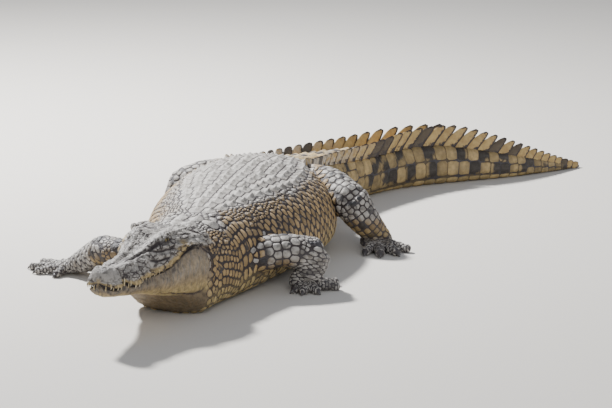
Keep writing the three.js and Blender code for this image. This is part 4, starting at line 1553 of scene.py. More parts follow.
@dataclass
class Coat:
    """Scales in rows over the skin, each a closed plate whose outline keeps clear of its neighbours."""

    skin: Skin
    crest: Crest
    # where a whorl of the tail is parted between its upper and lower scales
    seam: float = 0.36
    # the least distance between two scales, over the sum of their radii, and beside a much larger one
    clear: float = 0.52
    clear_of_large: float = 0.86
    # how far a seat may lie off the skin, and the radius of the pebbles that fill bare skin
    farthest: float = 19.0
    filler: float = 7.0
    neighbours: int = 15
    # the highest that a scale may reach, in metres, and the keel that counts as a full one
    ceiling: float = 0.3402
    full_keel: float = 5.0
    # places on the unwrap: corner, width and height
    whole_box: tuple = (0.02, 0.02, 0.96, 0.96)
    upper_box: tuple = (0.02, 0.02, 0.3, 0.96)
    lower_box: tuple = (0.34, 0.02, 0.2, 0.96)
    palm_box: tuple = (0.56, 0.02, 0.12, 0.96)
    # rows: first place, end and distance between them; gaps: distances between a row's scales
    back_rows: tuple = (-482.0, 425.0, 53.0)
    back_width: float = 50.0
    pebble_rows: tuple = (-562.0, 440.0, 13.5)
    flank_rows: tuple = (-570.0, 440.0, 25.0)
    flank_gaps: tuple = (34, 46, 44, 32)
    raised_rows: tuple = (-560.0, 430.0, 41.0)
    neck_rows: tuple = (-742.0, -575.0, 17.0)
    neck_gaps: tuple = ((0, 0.35, 0.55, 1), (13, 15, 24, 27))
    neck_raised_rows: tuple = (-700.0, -560.0, 44.0)
    tail_split: float = 1160.0
    tail_until: float = 2300.0
    rng: np.random.Generator = field(default_factory=lambda: np.random.default_rng(5))
    beds: list[Bed] = field(default_factory=list)
    middles: dict[str, Array] = field(default_factory=dict)
    normals: Array | None = None

    def _seat(self, tube: Tube, u: Array, v: Array, patch: Patch, spot_box: tuple, **sizes: Array) -> None:
        """Adds scales round a tube.

        Args:
            tube: The tube that they follow.
            u: Their ring numbers.
            v: Their shares of the way round.
            patch: The piece that they belong to.
            spot_box: Corner, width and height of the tube's place on the unwrap.
            sizes: Sizes that differ from the usual ones.
        """
        points = tube.at(u, v)
        ahead = tube.at(u + 0.6, v) - tube.at(u - 0.6, v)
        x, y, w, h = spot_box
        spots = np.column_stack([x + w * (u / len(tube.points)), y + h * np.mod(v, 1.0)])
        count = len(points)
        rows = [np.broadcast_to(np.asarray(sizes.get(k, usual), float), count) for k, usual in SIZES.items()]
        self.beds.append(Bed(points * MM, unit(ahead), *rows, spots, [patch] * count))

    def _ring_of(self, place: Array) -> Array:
        """Ring numbers of the body's tube at places."""
        places = self.skin.surface.places()
        return np.interp(place, places, np.arange(len(places)))

    def _half_length(self, place: float) -> float:
        """Length of half the body's ring at a place."""
        v = np.linspace(0, 0.5, 80)
        u = np.full(80, self._ring_of(np.array([place]))[0])
        return float(np.linalg.norm(np.diff(self.skin.full.at(u, v), axis=0), axis=1).sum())

    def _row(self, place: float, spans: list, patches: Patch | list, jitter: float, **sizes: Array) -> None:
        """Adds a cross row on both sides.

        Args:
            place: The row's place along the spine.
            spans: The scales' arc distances to the mid-line.
            patches: The piece that they belong to, or one for each.
            jitter: How far they wander from their places.
            sizes: Sizes that differ from the usual ones.
        """
        half, count = self._half_length(place), len(spans)
        spans, patches = np.asarray(spans, float), np.broadcast_to(np.asarray(patches, object), count)
        for side in (-1, 1):
            wander = self.rng.normal(size=(2, count)) * jitter
            v = side * (spans + wander[0]) / (2 * half)
            u = self._ring_of(place + wander[1])
            for patch in dict.fromkeys(patches):
                pick = np.flatnonzero(patches == patch)
                side_patch = patch
                if patch is Patch.FLANK_LEFT and side < 0:
                    side_patch = Patch.FLANK_RIGHT
                chosen = {k: np.broadcast_to(s, count)[pick] for k, s in sizes.items()}
                self._seat(self.skin.full, u[pick], v[pick], side_patch, self.whole_box, **chosen)

    def _edge(self, place: float) -> float:
        """Arc distance from the mid-line to the edge of the back's plates."""
        places, reaches = zip(*BACK_EDGE)
        return float(np.interp(place, places, reaches))

    def _pebbled(self, place: float) -> float:
        """Arc distance from the mid-line to the lower edge of the pebbles beside the back's plates."""
        return self._edge(place) + float(np.interp(place, [-560, -420, -200, 0], [20, 120, 66, 34]))

    def back(self) -> None:
        """Keeled plates over the back, from the shoulders to the hips."""
        for place in np.arange(*self.back_rows):
            edge = self._edge(place)
            count = max(2, round(edge / self.back_width))
            width = edge / count
            column = np.arange(count)
            outer = column / (count - 1)
            self._row(
                place, 0.5 * width + width * column, Patch.BACK, 1.6,
                radius=28.0 - 3 * outer, height=2.4, keel=10.0 - 1.0 * outer, square=14.0, border=2.4,
            )

    def flanks(self) -> None:
        """Upright scales over the flanks, pebbles with a row of keeled ones above, broad ones below."""
        for number, place in enumerate(np.arange(*self.pebble_rows)):
            edge = self._edge(place)
            spans = np.arange(edge + 6.0 * (number % 2), self._pebbled(place), 13.0)
            if len(spans):
                self._row(
                    place, spans, Patch.FLANK_LEFT, 1.8,
                    radius=7.5, height=3.0, keel=1.8, square=7.0, border=2.2,
                )
        for number, place in enumerate(np.arange(*self.flank_rows)):
            half, start = self._half_length(place), self._pebbled(place)
            gaps = ([start, start + 50, 0.8 * half, half], self.flank_gaps)
            first = start + (8.0 if number % 2 else 26.0)
            spans = np.array(paced(first, half - 10, lambda at: float(np.interp(at, *gaps))))
            belly = spans > 0.80 * half
            self._row(
                place, spans, [Patch.BELLY if b else Patch.FLANK_LEFT for b in belly], 2.6,
                radius=16.0, height=np.where(belly, 2.2, 3.6), keel=0.4, square=8.0,
                border=np.where(belly, 2.2, 3.9), room=1.9, slim=np.where(belly, 1.0, 1.4),
            )
        for number, place in enumerate(np.arange(*self.raised_rows)):
            edge, lower = self._edge(place), self._pebbled(place)
            spans = np.array([edge + 16.0, lower] if number % 2 else [0.5 * (edge + lower)])
            self._row(
                place, spans, Patch.FLANK_LEFT, 3.0,
                radius=15.0, height=4.2, keel=4.0, square=6.0, border=3.2, room=1.1,
            )

    def neck(self) -> None:
        """Pebbles round the neck and squarer scales low on it."""
        for number, place in enumerate(np.arange(*self.neck_rows)):
            half = self._half_length(place)
            first = 6.0 if number % 2 else 13.0
            spans = np.array(paced(first, half - 8, lambda at: float(np.interp(at / half, *self.neck_gaps))))
            top = spans < 0.42 * half
            self._row(
                place, spans, Patch.NECK, 2.0,
                radius=np.where(top, 7.0, 11.0), height=3.2, keel=np.where(top, 1.8, 0.3),
                square=9.0, border=np.where(top, 2.2, 2.8),
            )
        for number, place in enumerate(np.arange(*self.neck_raised_rows)):
            spans = np.array([0.34, 0.45] if number % 2 else [0.39]) * self._half_length(place)
            self._row(
                place, spans, Patch.NECK, 4.0,
                radius=14.0, height=4.5, keel=5.0, square=6.0, border=3.0, room=1.1,
            )

    def shield(self) -> None:
        """Six large keeled plates on the neck, and four small ones behind the skull."""
        rows = (
            (178, (36.0,), 36.0, 5.0, 8.0),
            (112, (36.0, 104.0), 34.0, 5.0, 8.0),
            (244, (24.0, 74.0), 15.0, 4.5, 5.0),
        )
        for ahead, spans, radius, height, keel in rows:
            self._row(
                self.skin.surface.spine.shoulder - ahead, spans, Patch.NECK, 0.5,
                radius=radius, height=height, keel=keel, square=12.0, border=3.4, room=1.08,
            )

    def tail(self) -> None:
        """Whorls of oblong scales round the tail, one to each plate of the crest."""
        for place in self.crest.places():
            if place >= self.tail_until:
                break
            half, pitch = self._half_length(place), self.crest.pitch(place)
            spread = float(row_at(self.crest.plates, place)[1])
            patch = Patch.TAIL_BASE if place < self.tail_split else Patch.TAIL_END
            inner = []
            if spread > 26:
                count = max(1, round((spread - 8) / 52.0))
                width = (spread - 10) / count
                inner = list(width * (np.arange(count) + 0.5))
            first = spread + 12.0
            room = half - first - 4
            seam = first + self.seam * room
            outer = []
            for low, high in ((first, seam), (seam, first + room)):
                count = max(1, round((high - low) / np.interp(half, [60, 200, 420], [30, 62, 66])))
                outer += list(low + (high - low) * (np.arange(count) + 0.5) / count)
            self._row(
                place + 0.05 * pitch, inner + outer, patch, 0.8,
                radius=0.44 * pitch, height=3.6 * step(2400, 1700, place) + 0.8,
                keel=[5.0] * len(inner) + [0.8] * len(outer), square=20.0, room=4.0, border=1.5,
            )

    def limbs(self) -> None:
        """Bands of scales round each limb and down each toe."""
        for limb, form in LIMBS.items():
            patch = Patch[limb.name]
            upper, lower, palm, *toes = form.tubes()
            if limb in (Limb.LEG_LEFT, Limb.LEG_RIGHT):
                self._bands(upper, patch, self.upper_box, 31.0, 37.0, 3.0)
                self._bands(lower, patch, self.lower_box, 21.0, 28.0, 2.6)
            else:
                self._bands(upper, patch, self.upper_box, 27.0, 33.0, 3.0, until=0.66)
                self._bands(lower, patch, self.lower_box, 13.0, 38.0, 3.2)
            self._bands(palm, patch, self.palm_box, 12.0, 32.0, 2.2)
            for k, toe in enumerate(toes):
                self._bands(toe, patch, (0.70, 0.02 + 0.19 * k, 0.28, 0.17), 11.0, 34.0, 2.0)

    def _bands(
        self, tube: Tube, patch: Patch, box: tuple, pitch: float, wide: float, height: float,
        until: float = 1.0,
    ) -> None:
        """Adds staggered rows of scales round a tube.

        Args:
            tube: The limb's part.
            patch: The piece that they belong to.
            box: Corner, width and height of their place on the unwrap.
            pitch: Distance between rows.
            wide: About how wide each scale is.
            height: How high each scale stands.
            until: The share of the tube's length where the rows end.
        """
        run = run_of(tube.points.mean(axis=1))
        for number, distance in enumerate(np.arange(0.5 * pitch, until * run[-1], pitch)):
            u = float(np.interp(distance, run, np.arange(len(run))))
            ring = tube.at(np.full(60, u), np.linspace(0, 1, 60))
            round_length = np.linalg.norm(np.diff(ring, axis=0), axis=1).sum()
            count = max(5, round(round_length / wide))
            v = (np.arange(count) + 0.5 * (number % 2)) / count + self.rng.normal(size=count) * 0.05 / count
            rings = np.full(count, u) + self.rng.normal(size=count) * 0.12
            radius = min(pitch, round_length / count) * 0.5
            self._seat(
                tube, rings, v, patch, box, radius=radius, height=height, square=10.0,
                room=max(1.6, 0.62 * wide / radius), slim=max(1.0, 0.8 * wide / pitch),
                border=1.9 if pitch > 20 else 1.3,
            )

    def gathered(self) -> Bed:
        """All the scales, laid on the skin, without those that are buried or crowd another."""
        bed = Bed.joined(self.beds)
        there, normals = self.skin.laid(bed.points)
        off = np.linalg.norm(there - bed.points, axis=1) / MM
        keep = (off < self.farthest) & (there[:, 2] > 2.5 * MM)
        bed.points = there
        order = np.lexsort((np.arange(len(off)), -bed.radius))
        tree = tree_of(bed.points)
        for i in order:
            if not keep[i]:
                continue
            for _, j, distance in tree.find_range(bed.points[i], 2 * bed.radius[i] * MM):
                clear = self.clear_of_large if bed.radius[i] > 1.5 * bed.radius[j] else self.clear
                crowded = distance < clear * (bed.radius[i] + bed.radius[j]) * MM
                if j != i and crowded and bed.radius[j] <= bed.radius[i]:
                    keep[j] = False
        which = np.flatnonzero(keep)
        return self._filled(bed.chosen(which), normals[which])

    def _filled(self, bed: Bed, normals: Array) -> Bed:
        """The bed with pebbles added wherever the rows leave the skin bare.

        Args:
            bed: The scales that were kept.
            normals: The skin's outward ways under them.

        Returns:
            The fuller bed. Its ways are kept as well.
        """
        points = self.skin.points
        place, _, _ = self.skin.surface.spine.locate(points)
        wanted = np.flatnonzero((place > -738.0) & (points[:, 2] > 6 * MM))
        tree = tree_of(bed.points)
        taken: dict[tuple, list] = {}
        cell = 2 * self.filler * MM
        new, owners = [], []
        for i in self.rng.permutation(wanted)[::2]:
            p = points[i]
            near = tree.find_n(p, 5)
            if min(d / MM - 0.85 * bed.room[j] * bed.radius[j] for _, j, d in near) < 0.8 * self.filler:
                continue
            key = tuple((p // cell).astype(int))
            around = [q for s in np.ndindex(3, 3, 3) for q in taken.get(tuple(np.add(key, s) - 1), ())]
            if all(np.linalg.norm(p - q) > 1.7 * self.filler * MM for q in around):
                taken.setdefault(key, []).append(p)
                new.append(i)
                owners.append(near[0][1])
        LOG.info("coat: %d pebbles fill the gaps", len(new))
        sizes = {"radius": self.filler, "height": 2.2, "keel": 0.0, "room": 1.5, "border": 1.8, "slim": 1.0}
        even = {name: np.full(len(new), value) for name, value in sizes.items()}
        pebbles = replace(bed.chosen(owners), points=points[new], **even)
        self.normals = np.vstack([normals, self.skin.ways[new]])
        return Bed.joined([bed, pebbles])

    def reaches(self, bed: Bed, one: Array, two: Array, chosen: Array, turns: Array) -> Array:
        """How far each chosen scale reaches in each direction before it meets its neighbours.

        Args:
            bed: All the scales.
            one: Each scale's way along the body.
            two: Each scale's way across it.
            chosen: Numbers of the scales that are wanted.
            turns: Directions, as angles from the way along.

        Returns:
            Distances in millimetres, shaped (chosen, turns).
        """
        tree = tree_of(bed.points)
        near = np.array([[j for _, j, _ in tree.find_n(bed.points[i], self.neighbours)] for i in chosen])
        own = chosen[:, None]
        away = (bed.points[near] - bed.points[own]) / MM
        x, y = (np.einsum("ijk,ijk->ij", away, np.broadcast_to(way[own], away.shape)) for way in (one, two))
        chord, flat = np.linalg.norm(away, axis=-1), np.maximum(np.hypot(x, y), 1e-6)
        beyond = (flat < 0.55 * chord) | (near == own)
        slim = bed.slim[own]
        distance = np.hypot(slim * x, y) * np.maximum(chord / flat, 1)
        share = bed.radius[own] / (bed.radius[own] + bed.radius[near])
        bearing = np.arctan2(y, slim * x)[..., None]
        facing = slim[..., None] * np.cos(turns) * np.cos(bearing) + np.sin(turns) * np.sin(bearing)
        wall = share[..., None] * distance[..., None] / np.maximum(facing, 1e-3)
        wall = np.where((facing > 0.08) & ~beyond[..., None], wall, 1e6)
        cap = (bed.room * bed.radius)[chosen][:, None, None]
        power = bed.square[chosen][:, None]
        walls = np.concatenate([wall, np.broadcast_to(cap, (len(chosen), 1, len(turns)))], axis=1)
        low = walls.min(axis=1, keepdims=True)
        return low[:, 0] * ((low / walls) ** power[..., None]).sum(axis=1) ** (-1 / power)

    def build(self) -> list[bpy.types.Object]:
        """All the coat's pieces."""
        for lay in (self.back, self.flanks, self.neck, self.shield, self.tail, self.limbs):
            lay()
        bed = self.gathered()
        LOG.info("coat: %d scales", len(bed.points))
        one = unit(bed.along - np.einsum("ij,ij->i", bed.along, self.normals)[:, None] * self.normals)
        two = np.cross(self.normals, one)
        owner = np.array([list(Patch).index(p) for p in bed.patch])
        pieces = []
        for number, patch in enumerate(Patch):
            chosen = np.flatnonzero(owner == number)
            if len(chosen):
                pieces.append(self._piece(patch, bed, one, two, chosen))
        return pieces

    @staticmethod
    def _profile(own: Bed, x: Array, y: Array, share: Array) -> tuple[Array, Array]:
        """How far the points of scales stand out of the skin.

        Args:
            own: The scales.
            x: Distances of their points lengthways from the scale's middle.
            y: Distances across it.
            share: Steps from the middle, 0, to the edge, 1, whose points are sunk into the skin.

        Returns:
            The rise in millimetres, and how much of the keel each point carries.
        """
        height, keel, radius = own.height[:, None], own.keel[:, None], own.radius[:, None]
        top = (1 - share**3.2) ** 0.55 * 0.8 + 0.2 * (1 - share**2)
        dome = np.where(share < 1, top, -1.2 / np.maximum(height, 0.5))
        slope = np.clip(0.55 + 0.60 * x / radius, 0.15, 1.0)
        flank = np.clip(1 - np.abs(y) / (0.42 * radius), 0, 1)
        ridge = flank ** np.where(keel > 6, 1.25, 1.6) * slope * (1 - share**10)
        tilt = 0.12 * height * (x / radius) * (share < 1)
        return height * dome + keel * ridge + tilt, ridge

    @staticmethod
    def _faces(count: int, levels: int, sides: int) -> list[list[int]]:
        """Faces of open domes, each of rings drawn to a point at its middle.

        Args:
            count: How many domes.
            levels: Rings in each.
            sides: Points in each ring.

        Returns:
            The faces, as rows of point numbers.
        """
        middle = levels * sides
        last = np.arange(middle - sides, middle)
        fan = np.stack([last, np.roll(last, -1), np.full(sides, middle)], axis=-1)
        base = (np.arange(count) * (middle + 1))[:, None, None]
        blocks = [(base + part).reshape(-1, part.shape[1]) for part in (ring_quads(levels, sides), fan)]
        return [row for block in blocks for row in block.tolist()]

    def _piece(self, patch: Patch, bed: Bed, one: Array, two: Array, chosen: Array) -> bpy.types.Object:
        """One piece of the coat.

        Args:
            patch: Which piece.
            bed: All the scales.
            one: Each scale's way along the body.
            two: Each scale's way across it.
            chosen: Numbers of the piece's scales.

        Returns:
            The piece, with its values and its unwrap.
        """
        name, sides, levels = patch.value
        own = bed.chosen(chosen)
        count, total = len(chosen), len(levels) * sides + 1
        turns = np.linspace(0, 2 * np.pi, sides, endpoint=False)
        reach = self.reaches(bed, one, two, chosen, turns)
        border = np.minimum(own.border, 0.40 * own.radius)[:, None]
        reach = np.maximum(reach - border / 2, 0.35 * reach)
        r = reach[:, None, :] * np.asarray(levels)[None, :, None]
        ways = (np.cos(turns), np.sin(turns))
        x, y = (np.pad((r * way).reshape(count, -1), ((0, 0), (0, 1))) for way in ways)
        lengthways, across = x[..., None] * one[chosen][:, None], y[..., None] * two[chosen][:, None]
        flat = own.points[:, None] + MM * (lengthways + across)
        there, normals = self.skin.laid(flat.reshape(-1, 3))
        share = np.append(np.repeat(levels, sides), 0.0)[None]
        rise, ridge = self._profile(own, x, y, share)
        points = there + normals * (rise.reshape(-1, 1) * MM)
        points[:, 2] = np.clip(points[:, 2], 0.0, self.ceiling)
        made = object_of(name, points, self._faces(count, len(levels), sides), outward=False)
        inset = np.append((reach[:, None, :] - r).reshape(count, -1), reach.mean(1)[:, None], axis=1)
        write_values(made.data, {
            "inset": inset / border,
            "keel": ridge * np.minimum(own.keel[:, None] / self.full_keel, 1.0),
            "luck": np.repeat(self.rng.random(count), total),
        })
        spread = np.stack([x, y], axis=-1) / np.maximum(reach.max(axis=1), 1e-6)[:, None, None] * 0.0015
        write_unwrap(made.data, (own.spots[:, None] + spread).reshape(-1, 2))
        self.middles[name] = np.repeat(own.points, total, axis=0)
        LOG.info("%s: %d scales, %d triangles", name, count, count * sides * (2 * len(levels) - 1))
        return made


# ---- Markings and finishes.


@dataclass
class Markings:
    """Where the hide is warm, cream, dark or bare, the same for skin and coat."""

    spine: Spine
    body: BodyForm
    head: HeadForm
    right_shift: float = 31.0
    upper_blotches: tuple = (
        # place, half length
        (700, 16), (815, 20), (930, 16), (1045, 22), (1160, 18), (1280, 20), (1424, 24), (1585, 30),
        (1735, 30), (1850, 22), (1955, 28), (2080, 26), (2200, 30), (2310, 26),
    )
    lower_blotches: tuple = (
        (640, 16), (760, 22), (880, 18), (1000, 24), (1110, 22), (1225, 34), (1348, 48), (1483, 24),
        (1610, 28), (1725, 24), (1803, 46), (1940, 48), (2070, 44), (2180, 36), (2290, 40),
    )

    noise: Noise = field(default_factory=lambda: Noise(3))

    def read(self, points: Array, limb: Array) -> dict[str, Array]:
        """Strengths of each marking.

        Args:
            points: Points in metres.
            limb: One where a point is on a limb, nought where it is on the body.

        Returns:
            Numbers from 0 to 1 for each point, by the marking's name.
        """
        place, offset, z = self.spine.locate(points)
        half, top = along(self.body.sections, place)[:, :2].T
        limb = np.maximum(limb, step(1.03, 1.12, np.abs(offset) / half))
        high = np.clip(z / top, 0, 1.1)
        cloud = self.noise.layered(points / MM, 90.0)
        fleck = self.noise.layered(points / MM, 34.0)
        edge = np.interp(place, *zip((-690, 70), (-560, 120), *BACK_EDGE))
        beside = step(0.98, 1.12, np.abs(offset) / edge + 0.08 * fleck)
        # The band is much less warm on the right side, which faces the light, than on the left: painted
        # sunlight that pales that side.
        beside = np.where(offset > 0, 0.85, 0.35) * beside
        tail = step(520.0, 760.0, place)
        trunk_warm = np.maximum(step(0.90, 0.66, high + 0.10 * cloud), beside)
        warm = blend(trunk_warm, step(1.03, 0.93, high + 0.06 * cloud), tail)
        cream = np.maximum(step(0.42, 0.10, high + 0.08 * cloud) * (1 - 0.4 * tail), 0.42 * tail)
        dark = 0.75 * step(0.28, 0.66, fleck) * step(0.25, 0.5, high) * step(0.96, 0.84, high) * (1 - tail)
        dark = np.maximum(dark, self._blotches(place, offset, high, fleck) * tail)
        dark = np.maximum(dark, step(1850.0, 2350.0, place) * 0.25)
        share, on_head = self._head(points, fleck)
        share = share * (1 - limb)
        on_limb = self._limb(points, z, cloud, fleck)
        marks = {"warm": warm, "cream": cream, "dark": dark}
        for word, rows in marks.items():
            marks[word] = blend(blend(rows, on_head[word], share), on_limb[word], limb)
        return {**marks, "bare": share}

    def _limb(self, points: Array, z: Array, cloud: Array, fleck: Array) -> dict[str, Array]:
        """The limbs' markings: pale below, flecked with dark, and grey on the paws and forearms."""
        paw = step(62.0, 34.0, z + 6 * cloud)
        for form in (LIMBS[Limb.ARM_LEFT], LIMBS[Limb.ARM_RIGHT]):
            for x, y, up, wide, _ in form.lower:
                away = np.linalg.norm(points / MM - [x, y, up], axis=1) / wide
                paw = np.maximum(paw, step(1.5, 1.1, away + 0.1 * cloud))
        warm = step(150.0, 92.0, z + 26 * cloud) * (1 - paw)
        dark = np.maximum(0.85 * step(0.26, 0.52, fleck), 0.34 * step(215.0, 140.0, z + 20 * cloud))
        return {"warm": warm, "cream": 0.5 * warm * step(100.0, 60.0, z), "dark": blend(dark, 0.36, paw)}

    def _blotches(self, place: Array, offset: Array, high: Array, fleck: Array) -> Array:
        """Two rows of dark blotches down each side of the tail.

        Args:
            place: Places of points along the spine.
            offset: Their offsets to the left.
            high: Their heights as shares of the tail's.
            fleck: Noise that makes the blotches' edges uneven.

        Returns:
            How dark each point is.
        """
        mark = np.zeros(len(place))
        shifted = place + np.where(offset < 0, self.right_shift, 0.0)
        for table, middle, half in ((self.upper_blotches, 0.86, 0.17), (self.lower_blotches, 0.45, 0.24)):
            tall = step(1.15, 0.8, np.abs(high - middle) / half + 0.5 * fleck)
            for spot, length in table:
                across = step(1.12, 0.88, np.abs(shifted - spot) / length + 0.22 * fleck)
                mark = np.maximum(mark, tall * across)
        return mark

    def _head(self, points: Array, fleck: Array) -> tuple[Array, dict[str, Array]]:
        """Where the bare head is, and its markings: grey above, yellow along the lips and under the jaw,
        with painted shade on the throat, round the eyes and just below the lips.
        """
        local = self.head.locate(points)
        forward, side, up = local[:, 0], np.abs(local[:, 1]), local[:, 2]
        relief = HeadRelief(self.head)
        sided = np.stack([forward, side, up], axis=-1)
        lip = np.where(forward > 120, self.head.lip(forward), relief.jowl(forward))
        over, under = up - lip, lip - up
        wide = np.interp(forward, [100, 300, 450], [1.0, 0.8, 0.45])
        lips = step(28.0, 12.0, over / wide + 9 * fleck) * step(-6.0, 0.0, over) * step(60.0, 130.0, forward)
        chin = along(self.head.jaw, forward)[:, 4]
        depth = np.clip(under / np.maximum(lip - chin, 20.0), 0, 1)
        # Painted shade on the throat under the jaw: less cream there, and darker.
        throat = step(-74.0, -94.0, up) * step(420.0, 330.0, forward)
        jaw = relief.cheek(sided)
        threads = self.noise.plain(local * [1.5, 1.0, 0.3], 9.0) * jaw
        warm = np.maximum(0.8 * lips, jaw * (0.34 + 0.5 * step(0.42, 0.85, depth)) - 0.2 * threads)
        cream = np.maximum(0.60 * lips, jaw * (0.08 + 0.75 * step(0.52, 0.92, depth)) * (1 - 0.8 * throat))
        dark = 0.30 * step(0.15, 0.6, fleck) * step(0.5, 0.1, depth) * (1 - 0.5 * jaw)
        # Dark streaks on the cheek, and painted shade just below the lip, under its overhang.
        dark = np.maximum(dark, jaw * (0.42 * step(0.0, 0.5, threads) + 0.45 * step(60.0, 4.0, under)))
        # Painted shade in the hollow round each eye, under the brow.
        away = np.linalg.norm((sided - [170.0, 62.0, 90.0]) / [26.0, 16.0, 15.0], axis=-1)
        dark = np.maximum(dark, np.maximum(0.60 * throat, 0.62 * step(1.3, 0.6, away)))
        spot = np.exp(-(((forward - 38) / 7) ** 2) - ((up + 22) / 10) ** 2) * step(100, 125, side)
        snout = 0.40 * step(436.0, 470.0, forward) * step(0.0, 24.0, up)
        low = (1 - jaw) * step(74.0, 54.0, up) * step(80.0, 50.0, forward)
        share = step(-62.0, -44.0, forward) * (1 - low)
        dark = np.clip(np.maximum(dark, 0.6 * spot) + snout, 0, 1)
        return share, {"warm": np.clip(warm, 0, 1), "cream": cream, "dark": dark}

    def dress(self, piece: bpy.types.Object, limb: Array | float, middles: Array | None = None) -> None:
        """Writes the markings to a piece's points.

        Args:
            piece: The piece.
            limb: One where a point is on a limb, nought where it is on the body.
            middles: The middle of each point's scale, for dark marks that fill whole scales.
        """
        points = points_of(piece.data)
        limb = np.broadcast_to(np.asarray(limb, float), len(points))
        marks = self.read(points, limb)
        if middles is not None:
            whole = self.read(middles, limb)
            filled = step(0.45, 0.7, whole["dark"]) * (0.15 + 0.85 * step(0.0, 0.4, marks["dark"]))
            marks["dark"] = np.maximum((0.3 + 0.6 * limb) * marks["dark"], filled)
            marks["warm"] = 0.5 * (marks["warm"] + whole["warm"])
        write_values(piece.data, marks)


class Nodes:
    """A material's nodes, joined by short calls."""

    def __init__(self, name: str) -> None:
        """Starts a material with its shader."""
        self.material = bpy.data.materials.new(name)
        self.material.use_nodes = True
        self.tree = self.material.node_tree
        self.shader = self.tree.nodes["Principled BSDF"]
        self.place = self.tree.nodes.new("ShaderNodeTexCoord").outputs["Object"]

    def put(self, socket: bpy.types.NodeSocket, value: object) -> None:
        """Links or sets an input."""
        if isinstance(value, bpy.types.NodeSocket):
            self.tree.links.new(value, socket)
        elif isinstance(value, tuple) and len(value) == 3 and socket.type == "RGBA":
            socket.default_value = (*value, 1.0)
        else:
            socket.default_value = value

    def read(self, word: str) -> bpy.types.NodeSocket:
        """A number that the mesh's points hold."""
        node = self.tree.nodes.new("ShaderNodeAttribute")
        node.attribute_name = word
        return node.outputs["Fac"]

    def noise(self, size: float, detail: float = 3.0, rough: float = 0.55) -> bpy.types.NodeSocket:
        """Noise whose lumps are about a size in metres."""
        node = self.tree.nodes.new("ShaderNodeTexNoise")
        self.put(node.inputs["Vector"], self.place)
        self.put(node.inputs["Scale"], 1.0 / size)
        self.put(node.inputs["Detail"], detail)
        self.put(node.inputs["Roughness"], rough)
        return node.outputs["Fac"]

    def cells(self, size: float, stretch: tuple = (1.0, 1.0, 1.0)) -> bpy.types.NodeSocket:
        """Distance to the edges of cells about a size in metres."""
        scale = self.tree.nodes.new("ShaderNodeVectorMath")
        scale.operation = "MULTIPLY"
        self.put(scale.inputs[0], self.place)
        scale.inputs[1].default_value = stretch
        node = self.tree.nodes.new("ShaderNodeTexVoronoi")
        node.feature = "DISTANCE_TO_EDGE"
        self.put(node.inputs["Vector"], scale.outputs[0])
        self.put(node.inputs["Scale"], 1.0 / size)
        return node.outputs["Distance"]

    def math(self, kind: str, first: object, *others: object) -> bpy.types.NodeSocket:
        """A sum, product or other arithmetic, taken in order."""
        result = first
        for value in others:
            node = self.tree.nodes.new("ShaderNodeMath")
            node.operation = kind
            self.put(node.inputs[0], result)
            self.put(node.inputs[1], value)
            result = node.outputs[0]
        return result

    def times(self, *factors: object) -> bpy.types.NodeSocket:
        """A product."""
        return self.math("MULTIPLY", *factors)

    def span(
        self, value: object, low: float, high: float, to_low: float = 0.0, to_high: float = 1.0
    ) -> bpy.types.NodeSocket:
        """A smooth change of range.

        Args:
            value: The number, or the name of one that the mesh's points hold.
            low: Where the change starts.
            high: Where it ends.
            to_low: The result up to low.
            to_high: The result from high on.

        Returns:
            The changed number.
        """
        value = self.read(value) if isinstance(value, str) else value
        node = self.tree.nodes.new("ShaderNodeMapRange")
        node.interpolation_type = "SMOOTHSTEP"
        for socket, number in zip(node.inputs[:5], (value, low, high, to_low, to_high)):
            self.put(socket, number)
        return node.outputs[0]

    def mottle(self, size: float, weakest: float, strongest: float) -> bpy.types.NodeSocket:
        """Noise of a size in metres, spread smoothly between two values."""
        return self.span(self.noise(size), 0.3, 0.7, weakest, strongest)

    def toned(self, colour: bpy.types.NodeSocket, tone: bpy.types.NodeSocket) -> bpy.types.NodeSocket:
        """A colour made lighter or darker by a number."""
        shade = self.tree.nodes.new("ShaderNodeCombineColor")
        for socket in shade.inputs[:3]:
            self.put(socket, tone)
        return self.mix(1.0, colour, shade.outputs[0], "MULTIPLY")

    def mix(self, amount: object, a: object, b: object, kind: str = "MIX") -> bpy.types.NodeSocket:
        """Two colours mixed."""
        node = self.tree.nodes.new("ShaderNodeMix")
        node.data_type, node.blend_type = "RGBA", kind
        self.put(node.inputs[0], amount)
        self.put(node.inputs[6], a)
        self.put(node.inputs[7], b)
        return node.outputs[2]

    def bump(self, height: object, depth: float, below: object = None) -> bpy.types.NodeSocket:
        """A fine relief of a depth in metres."""
        node = self.tree.nodes.new("ShaderNodeBump")
        node.inputs["Distance"].default_value = depth
        self.put(node.inputs["Height"], height)
        if below is not None:
            self.put(node.inputs["Normal"], below)
        return node.outputs[0]

    def finish(self, **values: object) -> bpy.types.Material:
        """Sets the shader's sockets, with spaces for underscores in their names."""
        for word, value in values.items():
            self.put(self.shader.inputs[word.replace("_", " ")], value)
        return self.material


